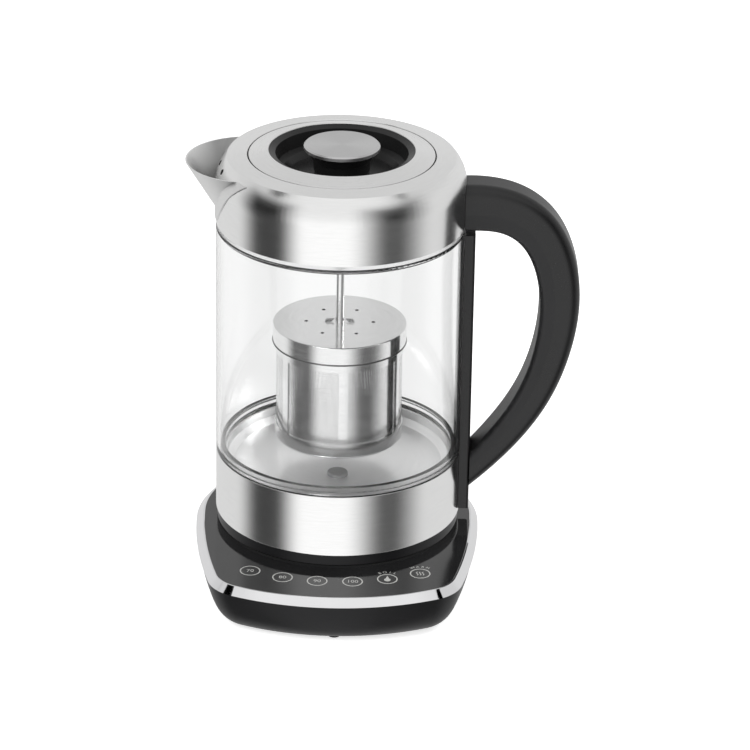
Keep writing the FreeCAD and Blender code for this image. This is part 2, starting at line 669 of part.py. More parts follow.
def make_kettle():
    """Kettle: foot, lower collar, heater, glass, seals, upper collar, spout, strap and handle."""
    turned("kettle_foot", [
        (FOOT_BORE, f"{SKIRT_FOOT} + 1.2"),
        (f"{FOOT_BORE} + 2.6", f"{SKIRT_FOOT} + 1.2"),
        (f"{FOOT_BORE} + 2.6", f"{COLLAR_FOOT} + 1.0"),
        ("body_radius - 0.8 - skirt_wall", f"{COLLAR_FOOT} + 1.0"),
        ("body_radius - 0.8 - skirt_wall", SKIRT_FOOT),
        ("body_radius - 0.8", SKIRT_FOOT),
        ("body_radius - 0.8", COLLAR_FOOT),
        ("body_radius - 2.8", COLLAR_FOOT),
        ("body_radius - 2.8", f"{COLLAR_FOOT} + 4.0"),
        (FOOT_BORE, f"{COLLAR_FOOT} + 4.0"),
    ])
    turned("lower_collar", [
        ("body_radius - 2.5", COLLAR_FOOT),
        ("body_radius", COLLAR_FOOT),
        ("body_radius", COLLAR_TOP),
        ("body_radius - 2.6", COLLAR_TOP),
        ("body_radius - 2.6", f"{COLLAR_TOP} - sheet_steel"),
        ("body_radius - sheet_steel", f"{COLLAR_TOP} - sheet_steel"),
        ("body_radius - sheet_steel", f"{COLLAR_FOOT} + sheet_steel"),
        ("body_radius - 2.5", f"{COLLAR_FOOT} + sheet_steel"),
    ], rounds=[("0.35", [("body_radius", COLLAR_FOOT), ("body_radius", COLLAR_TOP)])])

    # Stainless dish: flat boiling floor, sloped step and gutter, flange under the collar's lip
    flange = f"({COLLAR_TOP} - sheet_steel)"
    dish = turned("heater_dish", [
        ("0", f"{HEATER_LEVEL} - 1.0"),
        (f"{HEATER_RADIUS} + 0.4", f"{HEATER_LEVEL} - 1.0"),
        (f"{HEATER_RADIUS} + 5.1", f"{HEATER_LEVEL} + 2.4"),
        (f"{HEATER_RADIUS} + 5.1", f"{flange} - 1.0"),
        ("body_radius - 1.0", f"{flange} - 1.0"),
        ("body_radius - 1.0", flange),
        (f"{HEATER_RADIUS} + 4.3", flange),
        (f"{HEATER_RADIUS} + 4.3", f"{HEATER_LEVEL} + 2.9"),
        (HEATER_RADIUS, HEATER_LEVEL),
        ("0", HEATER_LEVEL),
    ], keep=False)
    dish.Label = "heater_dish_blank"
    hole = cylinder("sensor_hole", "sensor_radius - 2.4", "6", "0", "-sensor_offset", f"{HEATER_LEVEL} - 3")
    boolean("Cut", "heater_dish", dish, hole)

    heater = val(HEATER_LEVEL)
    spot = -val("sensor_offset")
    cap_radius = val("sensor_radius")
    probe = post(cap_radius, heater, heater + 2.0, 0, spot)
    probe = probe.makeFillet(0.9, [edge for edge in probe.Edges if edge.CenterOfMass.z > heater + 1.9])
    probe = probe.fuse(post(cap_radius - 2.5, heater - 7, heater, 0, spot))
    feature("temperature_probe", probe)

    spreader_foot = heater - 1.0 - val("spreader_height")
    spreader = post(val(HEATER_RADIUS) - 3, spreader_foot, heater - 1.0)
    spreader = spreader.cut(post(cap_radius, spreader_foot - 1, heater, 0, spot))
    feature("heat_spreader", spreader)

    ring = val(ELEMENT_RING)
    tube_radius = val("element_radius")
    level = spreader_foot - tube_radius
    element = Part.makeTorus(ring, tube_radius, Vector(0, 0, level), AXIS_Z, 0, 360, 300)
    element.rotate(ORIGIN, AXIS_Z, 120)
    for angle in (60, 120):
        place = ring_places(ring, [angle])[0]
        element = element.fuse(post(tube_radius - 1.2, level - 9, level, place.x, place.y))
    feature("heating_element", element)
    cutout = post(val("cutout_radius"), heater - 10, spreader_foot - 0.02, -18, 12)
    feature("safety_cutout", cutout.fuse(Part.makeBox(12, 8, 5, Vector(-24, 8, heater - 15))))

    turned("lower_seal", [
        ("body_radius - 5.4", f"{COLLAR_TOP} - sheet_steel"),
        ("body_radius - 2.7", f"{COLLAR_TOP} - sheet_steel"),
        ("body_radius - 2.7", COLLAR_TOP),
        ("body_radius - 0.25", COLLAR_TOP),
        ("body_radius - 0.25", GLASS_FOOT),
        ("body_radius - glass_wall - 0.3", GLASS_FOOT),
        ("body_radius - glass_wall - 0.3", f"{GLASS_FOOT} + 2.4"),
        ("body_radius - 5.4", f"{GLASS_FOOT} + 2.4"),
    ])
    turned("glass_jug", [
        ("body_radius - glass_wall", GLASS_FOOT),
        ("body_radius", GLASS_FOOT),
        ("body_radius", GLASS_TOP),
        ("body_radius - glass_wall", GLASS_TOP),
    ], rounds=[("glass_wall / 3", [("body_radius", GLASS_TOP), ("body_radius", GLASS_FOOT)])])
    turned("upper_seal", [
        ("body_radius - 5.0", f"{GLASS_TOP} - 2.4"),
        ("body_radius - glass_wall - 0.3", f"{GLASS_TOP} - 2.4"),
        ("body_radius - glass_wall - 0.3", GLASS_TOP),
        ("body_radius - 0.25", GLASS_TOP),
        ("body_radius - 0.25", UPPER_FOOT),
        ("body_radius - 5.0", UPPER_FOOT),
    ])

    inner_round = "shoulder_round - sheet_steel"
    shoulder_centre = "(body_radius - shoulder_round)"
    collar = turned("upper_collar", [
        ("body_radius", UPPER_FOOT),
        ("body_radius", SHOULDER_FOOT),
        (CREASE_RADIUS, CREASE_TOP, "shoulder_round", 1),
        ("mouth_radius + 0.6", MOUTH_TOP),
        ("mouth_radius", f"{MOUTH_TOP} - 0.6"),
        ("mouth_radius", NECK_FOOT),
        ("mouth_radius + sheet_steel", NECK_FOOT),
        ("mouth_radius + sheet_steel", f"{MOUTH_TOP} - 1.5 * sheet_steel"),
        (f"{shoulder_centre} + ({inner_round}) * cos(shoulder_angle)",
         f"{SHOULDER_FOOT} + ({inner_round}) * sin(shoulder_angle)"),
        ("body_radius - sheet_steel", SHOULDER_FOOT, inner_round, -1),
        ("body_radius - sheet_steel", f"{UPPER_FOOT} + sheet_steel"),
        ("body_radius - 4.8", f"{UPPER_FOOT} + sheet_steel"),
        ("body_radius - 4.8", UPPER_FOOT),
    ], keep=False)
    collar.Label = "upper_collar_blank"

    # Strainer holes through the collar's wall, inside the spout
    radius = val("strainer_hole_radius")
    pitch = 2.6 * radius
    body_radius = val("body_radius")
    start = val(f"{UPPER_FOOT} + spout_foot_height") + 2.5 * radius
    drills = []
    for row, count in enumerate((3, 4, 5, 4)):
        for column in range(count):
            turn = (column - (count - 1) / 2) * pitch / body_radius
            way = Vector(-math.cos(turn), math.sin(turn), 0)
            drills.append(Part.makeCylinder(
                radius, 8, way * (body_radius - 5) + Vector(0, 0, start + row * pitch * 0.87), way))
    holes = feature("strainer_drills", Part.makeCompound(drills), keep=False)
    boolean("Cut", "upper_collar", collar, holes)

    turned("lid_seat", [
        ("mouth_radius - seat_lip", f"{LID_REST} - 2.0"),
        ("mouth_radius + 2.7", f"{LID_REST} - 2.0"),
        ("mouth_radius + 2.7", f"{NECK_FOOT} + 2.0"),
        ("mouth_radius + sheet_steel + 0.1", f"{NECK_FOOT} + 2.0"),
        ("mouth_radius + sheet_steel + 0.1", f"{NECK_FOOT} - 0.1"),
        ("mouth_radius", f"{NECK_FOOT} - 0.1"),
        ("mouth_radius", LID_REST),
        ("mouth_radius - seat_lip", LID_REST),
    ])

    # Spout: a slanted half cone of sheet steel with a raised flange where it meets the collar
    sheet = val("spout_sheet")
    rise = val("spout_rise")
    low = val(UPPER_FOOT) - 30
    outer = funnel(0, -2.5, rise)
    inner = funnel(-sheet, -2.5, rise + 0.01)
    walls = outer.cut(inner)
    lift = val("spout_flange_height")
    skin = collar_envelope(lift, val(UPPER_FOOT)).cut(collar_envelope(0, low))
    flange_width = val("spout_flange")
    band = skin.common(funnel(flange_width, -2.5, rise)).cut(outer)
    spout = walls.cut(collar_envelope(0, low)).fuse(band).removeSplitter()
    feature("spout", spout)

    make_handle()


def handle_stations():
    """Outer edge of the handle seen from the front: shares of its reach past the strap and of its height."""
    return (
        (-0.24, 1.0), (0.17, 1.0), (0.44, 0.977), (0.722, 0.915), (0.91, 0.818),
        (1.0, 0.682), (0.935, 0.502), (0.714, 0.329), (0.378, 0.188), (0.0, 0.0755), (-0.19, 0.027),
    )


def handle_curves():
    """The handle's outer, seam and inner curves, the last two offset from the first by its thickness."""
    face = val(STRAP_FACE)
    reach = val("body_radius + handle_reach") - face
    foot = val(COLLAR_FOOT)
    rise = val("handle_rise")
    outer_points = [Vector(face + x * reach, 0, foot + z * rise) for x, z in handle_stations()]
    outer = Part.BSplineCurve()
    outer.interpolate(outer_points)
    root, grip, toe = val("handle_root"), val("handle_grip"), val("handle_toe")
    middle = 5
    seam_points, inner_points = [], []
    for number, point in enumerate(outer_points):
        where = outer.parameter(point)
        tangent = outer.tangent(where)[0]
        inward = Vector(tangent.z, 0, -tangent.x).normalize()
        share = abs(number - middle) / middle
        end = root if number < middle else toe
        thick = grip + (end - grip) * min(1.0, share * 1.25)
        seam_points.append(point + inward * thick * 0.62)
        inner_points.append(point + inward * thick)
    curves = [outer]
    for points in (seam_points, inner_points):
        curve = Part.BSplineCurve()
        curve.interpolate(points)
        curves.append(curve)
    return curves


def handle_slab(first, second, rounded, radius):
    """Slab between two curves, as wide as the handle, its edges along one curve rounded."""
    width = val("handle_width")
    edges = [
        first.toShape(),
        Part.LineSegment(first.value(first.LastParameter), second.value(second.LastParameter)).toShape(),
        second.toShape(),
        Part.LineSegment(second.value(second.FirstParameter), first.value(first.FirstParameter)).toShape(),
    ]
    wire = Part.Wire(Part.__sortEdges__(edges))
    wire.translate(Vector(0, -width / 2, 0))
    slab = Part.Face(wire).extrude(Vector(0, width, 0))
    path = rounded.toShape()
    chosen = []
    for edge in slab.Edges:
        middle = edge.valueAt((edge.FirstParameter + edge.LastParameter) / 2)
        flat = Part.Vertex(middle.x, 0, middle.z)
        if abs(abs(middle.y) - width / 2) < 0.01 and path.distToShape(flat)[0] < 0.01:
            chosen.append(edge)
    return slab.makeFillet(radius, chosen)


def make_handle():
    """D-shaped handle in two mouldings on a strap along the glass."""
    body = val("body_radius")
    face = val(STRAP_FACE)
    width = val("strap_width")
    strap_low = val(f"{COLLAR_FOOT} + strap_foot_height")
    strap_top = val(STRAP_TOP)
    strap = Part.makeBox(face - body + 12, width, strap_top - strap_low, Vector(body - 12, -width / 2, strap_low))
    upright = [edge for edge in strap.Edges if abs(edge.tangentAt(edge.FirstParameter).z) > 0.9 and
               edge.CenterOfMass.x > body]
    strap = strap.makeFillet(1.6, upright)
    for side in (-1, 1):
        rib = Part.makeBox(1.4, 1.6, strap_top - strap_low - 8, Vector(face - 0.9, side * 5.2 - 0.8, strap_low + 4))
        strap = strap.cut(rib)
    strap = strap.cut(post(body + 0.1, strap_low - 1, strap_top + 1))
    feature("handle_strap", strap)

    outer, seam, inner = handle_curves()
    keep_out = collar_envelope(0.1, strap_low)
    toe_block = Part.makeBox(face - 40, 60, strap_top + 0.1 - 10, Vector(40, -30, 10))
    shell = handle_slab(outer, seam, outer, val("handle_outer_round"))
    liner = handle_slab(seam, inner, inner, val("handle_inner_round"))
    feature("handle_shell", shell.cut(keep_out).cut(toe_block))
    feature("handle_liner", liner.cut(keep_out).cut(toe_block))


def make_lid():
    """Lid with its sunk knob, plug, gasket, rod and infuser cap."""
    slope_foot = f"{MOUTH_TOP} - 1.6"
    turned("lid_ring", [
        (RIM_RADIUS, slope_foot),
        ("mouth_radius - running_gap", slope_foot),
        ("mouth_radius - running_gap", f"{MOUTH_TOP} - 0.2"),
        (RIM_RADIUS, RIM_TOP),
    ], rounds=[("0.5", [("mouth_radius - running_gap", f"{MOUTH_TOP} - 0.2"), (RIM_RADIUS, RIM_TOP)])])
    turned("knob_cup", [
        ("rod_radius + 0.1", CUP_FLOOR),
        ("knob_waist + 14", CUP_FLOOR),
        ("knob_waist + 17", f"{CUP_FLOOR} + 3.2"),
        (f"{RIM_RADIUS} - 5.0", f"{CUP_FLOOR} + 4.4"),
        (f"{RIM_RADIUS} - 3.8", f"{RIM_TOP} - 2.2"),
        (f"{RIM_RADIUS} - 0.1", f"{RIM_TOP} - 0.7"),
        (f"{RIM_RADIUS} - 0.1", f"{RIM_TOP} - 3.2"),
        (f"{RIM_RADIUS} - 1.9", f"{RIM_TOP} - 3.8"),
        (f"{RIM_RADIUS} - 3.2", f"{CUP_FLOOR} + 3.0"),
        ("knob_waist + 18", f"{CUP_FLOOR} + 1.6"),
        ("knob_waist + 15", f"{CUP_FLOOR} - cup_wall"),
        ("rod_radius + 0.1", f"{CUP_FLOOR} - cup_wall"),
    ])
    turned("lid_knob", [
        ("rod_radius + 0.1", CUP_FLOOR),
        ("knob_waist - 1.0", CUP_FLOOR),
        ("knob_waist", f"{CUP_FLOOR} + 2.0"),
        ("knob_waist + 0.6", f"{CUP_FLOOR} + 8.0"),
        ("knob_radius - 2.4", f"{KNOB_SEAT} - 1.6"),
        ("knob_radius - 0.9", KNOB_SEAT),
        ("rod_radius + 0.1", KNOB_SEAT),
    ])
    turned("knob_cap", [
        ("0", KNOB_SEAT),
        ("knob_radius", KNOB_SEAT),
        ("knob_radius", f"{KNOB_TOP} - 0.8"),
        ("knob_radius - 0.8", KNOB_TOP),
        ("0", KNOB_TOP),
    ])
    floor_foot = f"{LID_REST} - lid_floor"
    cup_under = f"{CUP_FLOOR} - cup_wall"
    turned("lid_plug", [
        ("rod_radius + 0.1", floor_foot),
        ("mouth_radius - seat_lip - running_gap", floor_foot),
        ("mouth_radius - seat_lip - running_gap", LID_REST),
        (f"{LID_PLUG_RADIUS} + 0.8", LID_REST),
        (f"{LID_PLUG_RADIUS} + 0.8", f"{LID_REST} + 2.4"),
        (f"{LID_PLUG_RADIUS} - 0.6", f"{LID_REST} + 2.4"),
        (f"{LID_PLUG_RADIUS} - 0.6", f"{LID_REST} + 2.4 + gasket_height"),
        (f"{LID_PLUG_RADIUS} + 0.4", f"{LID_REST} + 2.4 + gasket_height"),
        (f"{LID_PLUG_RADIUS} + 0.4", slope_foot),
        (f"{LID_PLUG_RADIUS} - 3.2", slope_foot),
        (f"{LID_PLUG_RADIUS} - 3.2", f"{cup_under} - 0.1"),
        ("rod_radius + 0.1", f"{cup_under} - 0.1"),
    ])
    turned("lid_gasket", [
        (f"{LID_PLUG_RADIUS} - 0.5", f"{LID_REST} + 2.5"),
        ("mouth_radius - running_gap", f"{LID_REST} + 2.5"),
        ("mouth_radius - running_gap", f"{LID_REST} + 3.4"),
        (f"{LID_PLUG_RADIUS} + 0.5", f"{LID_REST} + 3.9"),
        ("mouth_radius - running_gap", f"{LID_REST} + 4.4"),
        ("mouth_radius - running_gap", f"{LID_REST} + 2.3 + gasket_height"),
        (f"{LID_PLUG_RADIUS} - 0.5", f"{LID_REST} + 2.3 + gasket_height"),
    ])
    turned("infuser_rod", [
        ("0", f"{CAP_TOP} - 4.0"),
        ("rod_radius", f"{CAP_TOP} - 4.0"),
        ("rod_radius", f"{KNOB_SEAT} - 2.0"),
        ("0", f"{KNOB_SEAT} - 2.0"),
    ])

    # Infuser cap: inverted pan on the rod's hub, with vents and two kidney openings
    sheet = "basket_wall"
    turned("infuser_hub", [
        ("rod_radius + 0.1", f"{CAP_TOP} - 4.0"),
        ("rod_radius + 2.2", f"{CAP_TOP} - 4.0"),
        ("rod_radius + 2.2", f"{CAP_TOP} - {sheet}"),
        ("rod_radius + 0.1", f"{CAP_TOP} - {sheet}"),
    ])
    pan = turned("infuser_cap", [
        ("rod_radius + 0.1", f"{CAP_TOP} - {sheet}"),
        (f"cap_radius - {sheet}", f"{CAP_TOP} - {sheet}"),
        (f"cap_radius - {sheet}", CAP_FOOT),
        ("cap_radius", CAP_FOOT),
        ("cap_radius", CAP_TOP),
        ("rod_radius + 0.1", CAP_TOP),
    ], rounds=[("0.5", [("cap_radius", CAP_TOP)])], keep=False)
    pan.Label = "infuser_cap_blank"
    cap_inner = val("cap_radius - basket_wall")
    tab_top = val(f"{LUG_LEVEL} - running_gap")
    tabs = feature("cap_tabs", ring_lugs(
        cap_inner + val("basket_wall") / 2, cap_inner - val("tab_reach"),
        tab_top - val("tab_height"), tab_top, val("lug_width")), keep=False)
    tabbed = boolean("Fuse", "infuser_cap_tabbed", pan, tabs, keep=False)
    top = val(CAP_TOP)
    drills = [post(val("vent_radius"), top - 5, top + 5, place.x, place.y)
              for place in ring_places(val("vent_ring"), range(0, 360, 60))]
    kidney = tube(val("kidney_radius"), val("rod_radius") + 2.0, top - 5, top + 5)
    for side in (-1, 1):
        width = val("kidney_width")
        reach = val("kidney_radius")
        block = Part.makeBox(reach, width, 20, Vector(0.4 * reach, -width / 2, top - 10))
        block.rotate(ORIGIN, AXIS_Z, 90 - 90 * side)
        drills.append(kidney.common(block))
    holes = feature("cap_drills", Part.makeCompound(drills), keep=False)
    boolean("Cut", "infuser_cap", tabbed, holes)


def ring_lugs(outer, inner, low, high, width):
    """Short stretches of a ring between two levels, one at each of the bayonet's angles."""
    ring = tube(outer, inner, low, high)
    lugs = []
    for angle in LUG_ANGLES:
        block = Part.makeBox(outer, width, high - low, Vector(outer / 2, -width / 2, low))
        block.rotate(ORIGIN, AXIS_Z, angle)
        lugs.append(ring.common(block))
    return Part.makeCompound(lugs)


def make_basket():
    """Infuser basket: rolled sheet with six window openings and bayonet lugs, drawn pan and mesh sleeve."""
    inner = "(basket_radius - basket_wall)"
    seam = f"({BASKET_FOOT} + pan_height)"
    body = turned("basket_sheet", [
        ("basket_radius", seam),
        ("basket_radius", BASKET_TOP),
        (inner, BASKET_TOP),
        (inner, seam),
    ], keep=False)
    low = f"{BASKET_FOOT} + window_foot"
    high = f"{BASKET_FOOT} + window_foot + window_height"
    sketch = bound_sketch(body, "XZ_Plane", "window_outline", [
        ("-window_width / 2", low), ("window_width / 2", low),
        ("window_width / 2", high), ("-window_width / 2", high),
    ])
    before = body.Shape.Volume
    window = body.newObject("PartDesign::Pocket", "window")
    window.Profile = sketch
    window.Length = val("basket_radius + 5")
    window.setExpression("Length", bound("basket_radius + 5"))
    window.Reversed = False
    sketch.Visibility = False
    DOC.recompute()
    if abs(body.Shape.Volume - before) < 1.0:
        window.Reversed = True
        DOC.recompute()
    pattern = body.newObject("PartDesign::PolarPattern", "windows")
    pattern.Originals = [window]
    pattern.Axis = (origin_item(body, "Z_Axis"), [""])
    pattern.Angle = 360.0
    pattern.Occurrences = int(val("window_count"))
    pattern.setExpression("Occurrences", bound("window_count"))
    body.Tip = pattern
    DOC.recompute()
    body.Placement = FreeCAD.Placement(ORIGIN, AXIS_Z, WINDOW_TURN)
    lug_low = val(LUG_LEVEL)
    basket_radius = val("basket_radius")
    lugs = feature("basket_lugs", ring_lugs(
        basket_radius + val("lug_reach"), basket_radius - val("basket_wall") / 2,
        lug_low, lug_low + val("lug_height"), val("lug_width")), keep=False)
    boolean("Fuse", "infuser_basket", body, lugs)

    turned("basket_pan", [
        ("0", BASKET_FOOT),
        ("basket_radius", BASKET_FOOT),
        ("basket_radius", seam),
        (inner, seam),
        (inner, f"{BASKET_FOOT} + basket_wall"),
        ("0", f"{BASKET_FOOT} + basket_wall"),
    ], rounds=[
        ("pan_round", [("basket_radius", BASKET_FOOT)]),
        ("pan_round - basket_wall", [(inner, f"{BASKET_FOOT} + basket_wall")]),
    ])

    turned("mesh_sleeve", [
        (f"{inner} - 0.35", f"{low} - 1.8"),
        (f"{inner} - 0.05", f"{low} - 1.8"),
        (f"{inner} - 0.05", f"{high} + 2.0"),
        (f"{inner} - 0.35", f"{high} + 2.0"),
    ])


def main():
    """Builds every sub-part, checks each one and writes its file."""
    fill_sheet(SIZES)
    make_base()
    make_coupler()
    make_kettle()
    make_lid()
    make_basket()
    DOC.recompute()
    failed = [item.Label for item in DOC.Objects if "Invalid" in item.State or "Error" in item.State]
    if failed:
        raise RuntimeError(f"failed objects: {failed}")
    os.makedirs("parts", exist_ok=True)
    for item in PARTS:
        shape = item.Shape
        if shape.isNull() or not shape.isValid():
            raise RuntimeError(f"{item.Label} has no valid shape")
        shape.exportStep(f"parts/{item.Label}.step")
        print(item.Label, len(shape.Solids), round(shape.Volume), [round(number, 1) for number in (
            shape.BoundBox.XMin, shape.BoundBox.XMax, shape.BoundBox.YMin,
            shape.BoundBox.YMax, shape.BoundBox.ZMin, shape.BoundBox.ZMax)])


main()
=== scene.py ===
"""Studio picture of a glass tea maker.

It gives the solids their finishes, adds the woven infuser, the panel's print, painted shade in small
openings and dark cords of painted shadow in two gaps, and sets up the light and the camera.
"""

import json
import logging
import math
from dataclasses import dataclass
from enum import Enum
from typing import Any, Sequence

import bpy
from mathutils import Matrix, Vector

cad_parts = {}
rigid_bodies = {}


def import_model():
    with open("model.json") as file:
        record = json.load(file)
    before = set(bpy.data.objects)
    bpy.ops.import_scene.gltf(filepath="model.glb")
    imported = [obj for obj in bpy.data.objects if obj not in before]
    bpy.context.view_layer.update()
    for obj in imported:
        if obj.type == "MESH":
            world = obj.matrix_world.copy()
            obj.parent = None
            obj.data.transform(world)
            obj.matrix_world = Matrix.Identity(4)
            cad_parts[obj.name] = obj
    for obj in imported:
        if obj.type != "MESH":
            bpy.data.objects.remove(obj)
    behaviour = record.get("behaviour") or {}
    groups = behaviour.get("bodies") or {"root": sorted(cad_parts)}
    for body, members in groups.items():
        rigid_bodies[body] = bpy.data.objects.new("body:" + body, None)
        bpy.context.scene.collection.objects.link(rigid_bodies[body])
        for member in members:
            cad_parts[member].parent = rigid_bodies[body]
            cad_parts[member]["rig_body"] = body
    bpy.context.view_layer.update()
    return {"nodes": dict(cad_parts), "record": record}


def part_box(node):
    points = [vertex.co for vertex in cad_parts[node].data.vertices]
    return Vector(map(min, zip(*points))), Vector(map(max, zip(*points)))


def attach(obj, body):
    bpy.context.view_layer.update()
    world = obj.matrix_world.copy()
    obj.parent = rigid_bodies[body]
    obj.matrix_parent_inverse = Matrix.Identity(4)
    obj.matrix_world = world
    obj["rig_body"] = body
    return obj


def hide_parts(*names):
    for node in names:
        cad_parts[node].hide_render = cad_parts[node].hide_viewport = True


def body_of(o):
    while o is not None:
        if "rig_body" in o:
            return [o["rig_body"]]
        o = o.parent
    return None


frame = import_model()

LOG = logging.getLogger("tea_maker")

Colour = tuple[float, float, float]
Span = tuple[float, float]
Socket = bpy.types.NodeSocket


class Body(Enum):
    """The bodies that new pieces ride on."""

    BASE = "base"
    KETTLE = "kettle"
    LID = "lid"
    BASKET = "basket"


# Node trees


class NodeTree:
    """Short way to write a node tree."""

    prefix = "ShaderNode"

    def __init__(self, tree: bpy.types.NodeTree) -> None:
        """Starts in a tree.

        Args:
            tree: The tree to write in.
        """
        self.nodes = tree.nodes
        self.links = tree.links

    def add(self, kind: str, settings: dict[str, Any] | None = None, **inputs: Any) -> bpy.types.Node:
        """Adds a node.

        Args:
            kind: Full node type, or its end where it starts with this tree's prefix.
            settings: Node properties, such as an operation.
            inputs: Numbers or sockets by input name, with spaces as underscores.

        Returns:
            The new node.
        """
        node = self.nodes.new(kind if "Node" in kind else f"{self.prefix}{kind}")
        for key, value in (settings or {}).items():
            setattr(node, key, value)
        for key, value in inputs.items():
            self.put(node.inputs[key.replace("_", " ")], value)
        return node

    def result(self, kind: str, settings: dict[str, Any] | None = None, **inputs: Any) -> Socket:
        """Adds a node as add() does, and gives its first output.

        Args:
            kind: Full node type, or its end where it starts with this tree's prefix.
            settings: Node properties, such as an operation.
            inputs: Numbers or sockets by input name, with spaces as underscores.

        Returns:
            The node's first output.
        """
        return self.add(kind, settings, **inputs).outputs[0]

    def put(self, socket: Socket, value: Any) -> None:
        """Links a socket to another one, or sets its value.

        Args:
            socket: Socket to fill.
            value: Another socket, or a plain value.
        """
        if isinstance(value, Socket):
            self.links.new(value, socket)
        else:
            socket.default_value = value

    def fill(self, node: bpy.types.Node, *values: Any) -> bpy.types.Node:
        """Fills the inputs of a node in order.

        Args:
            node: The node.
            values: Numbers or sockets.

        Returns:
            The same node.
        """
        for socket, value in zip(node.inputs, values):
            self.put(socket, value)
        return node

    def math(self, operation: str, *values: Any) -> Socket:
        """Adds a Math node.

        Args:
            operation: Name of the operation, as the node has it.
            values: Numbers or sockets for its inputs, in order.

        Returns:
            The result's socket.
        """
        return self.fill(self.add("ShaderNodeMath", {"operation": operation}), *values).outputs[0]

    def spread(self, value: Socket, start: float, end: float, low: float, high: float,
               soft: bool = False) -> Socket:
        """Maps one range of a value to another.

        Args:
            value: The value.
            start: Where the first range starts.
            end: Where the first range ends.
            low: Result at the start.
            high: Result at the end.
            soft: Whether the change eases in and out.

        Returns:
            The mapped value's socket.
        """
        settings = {"interpolation_type": "SMOOTHSTEP"} if soft else None
        return self.fill(self.add("ShaderNodeMapRange", settings), value, start, end, low, high).outputs[0]


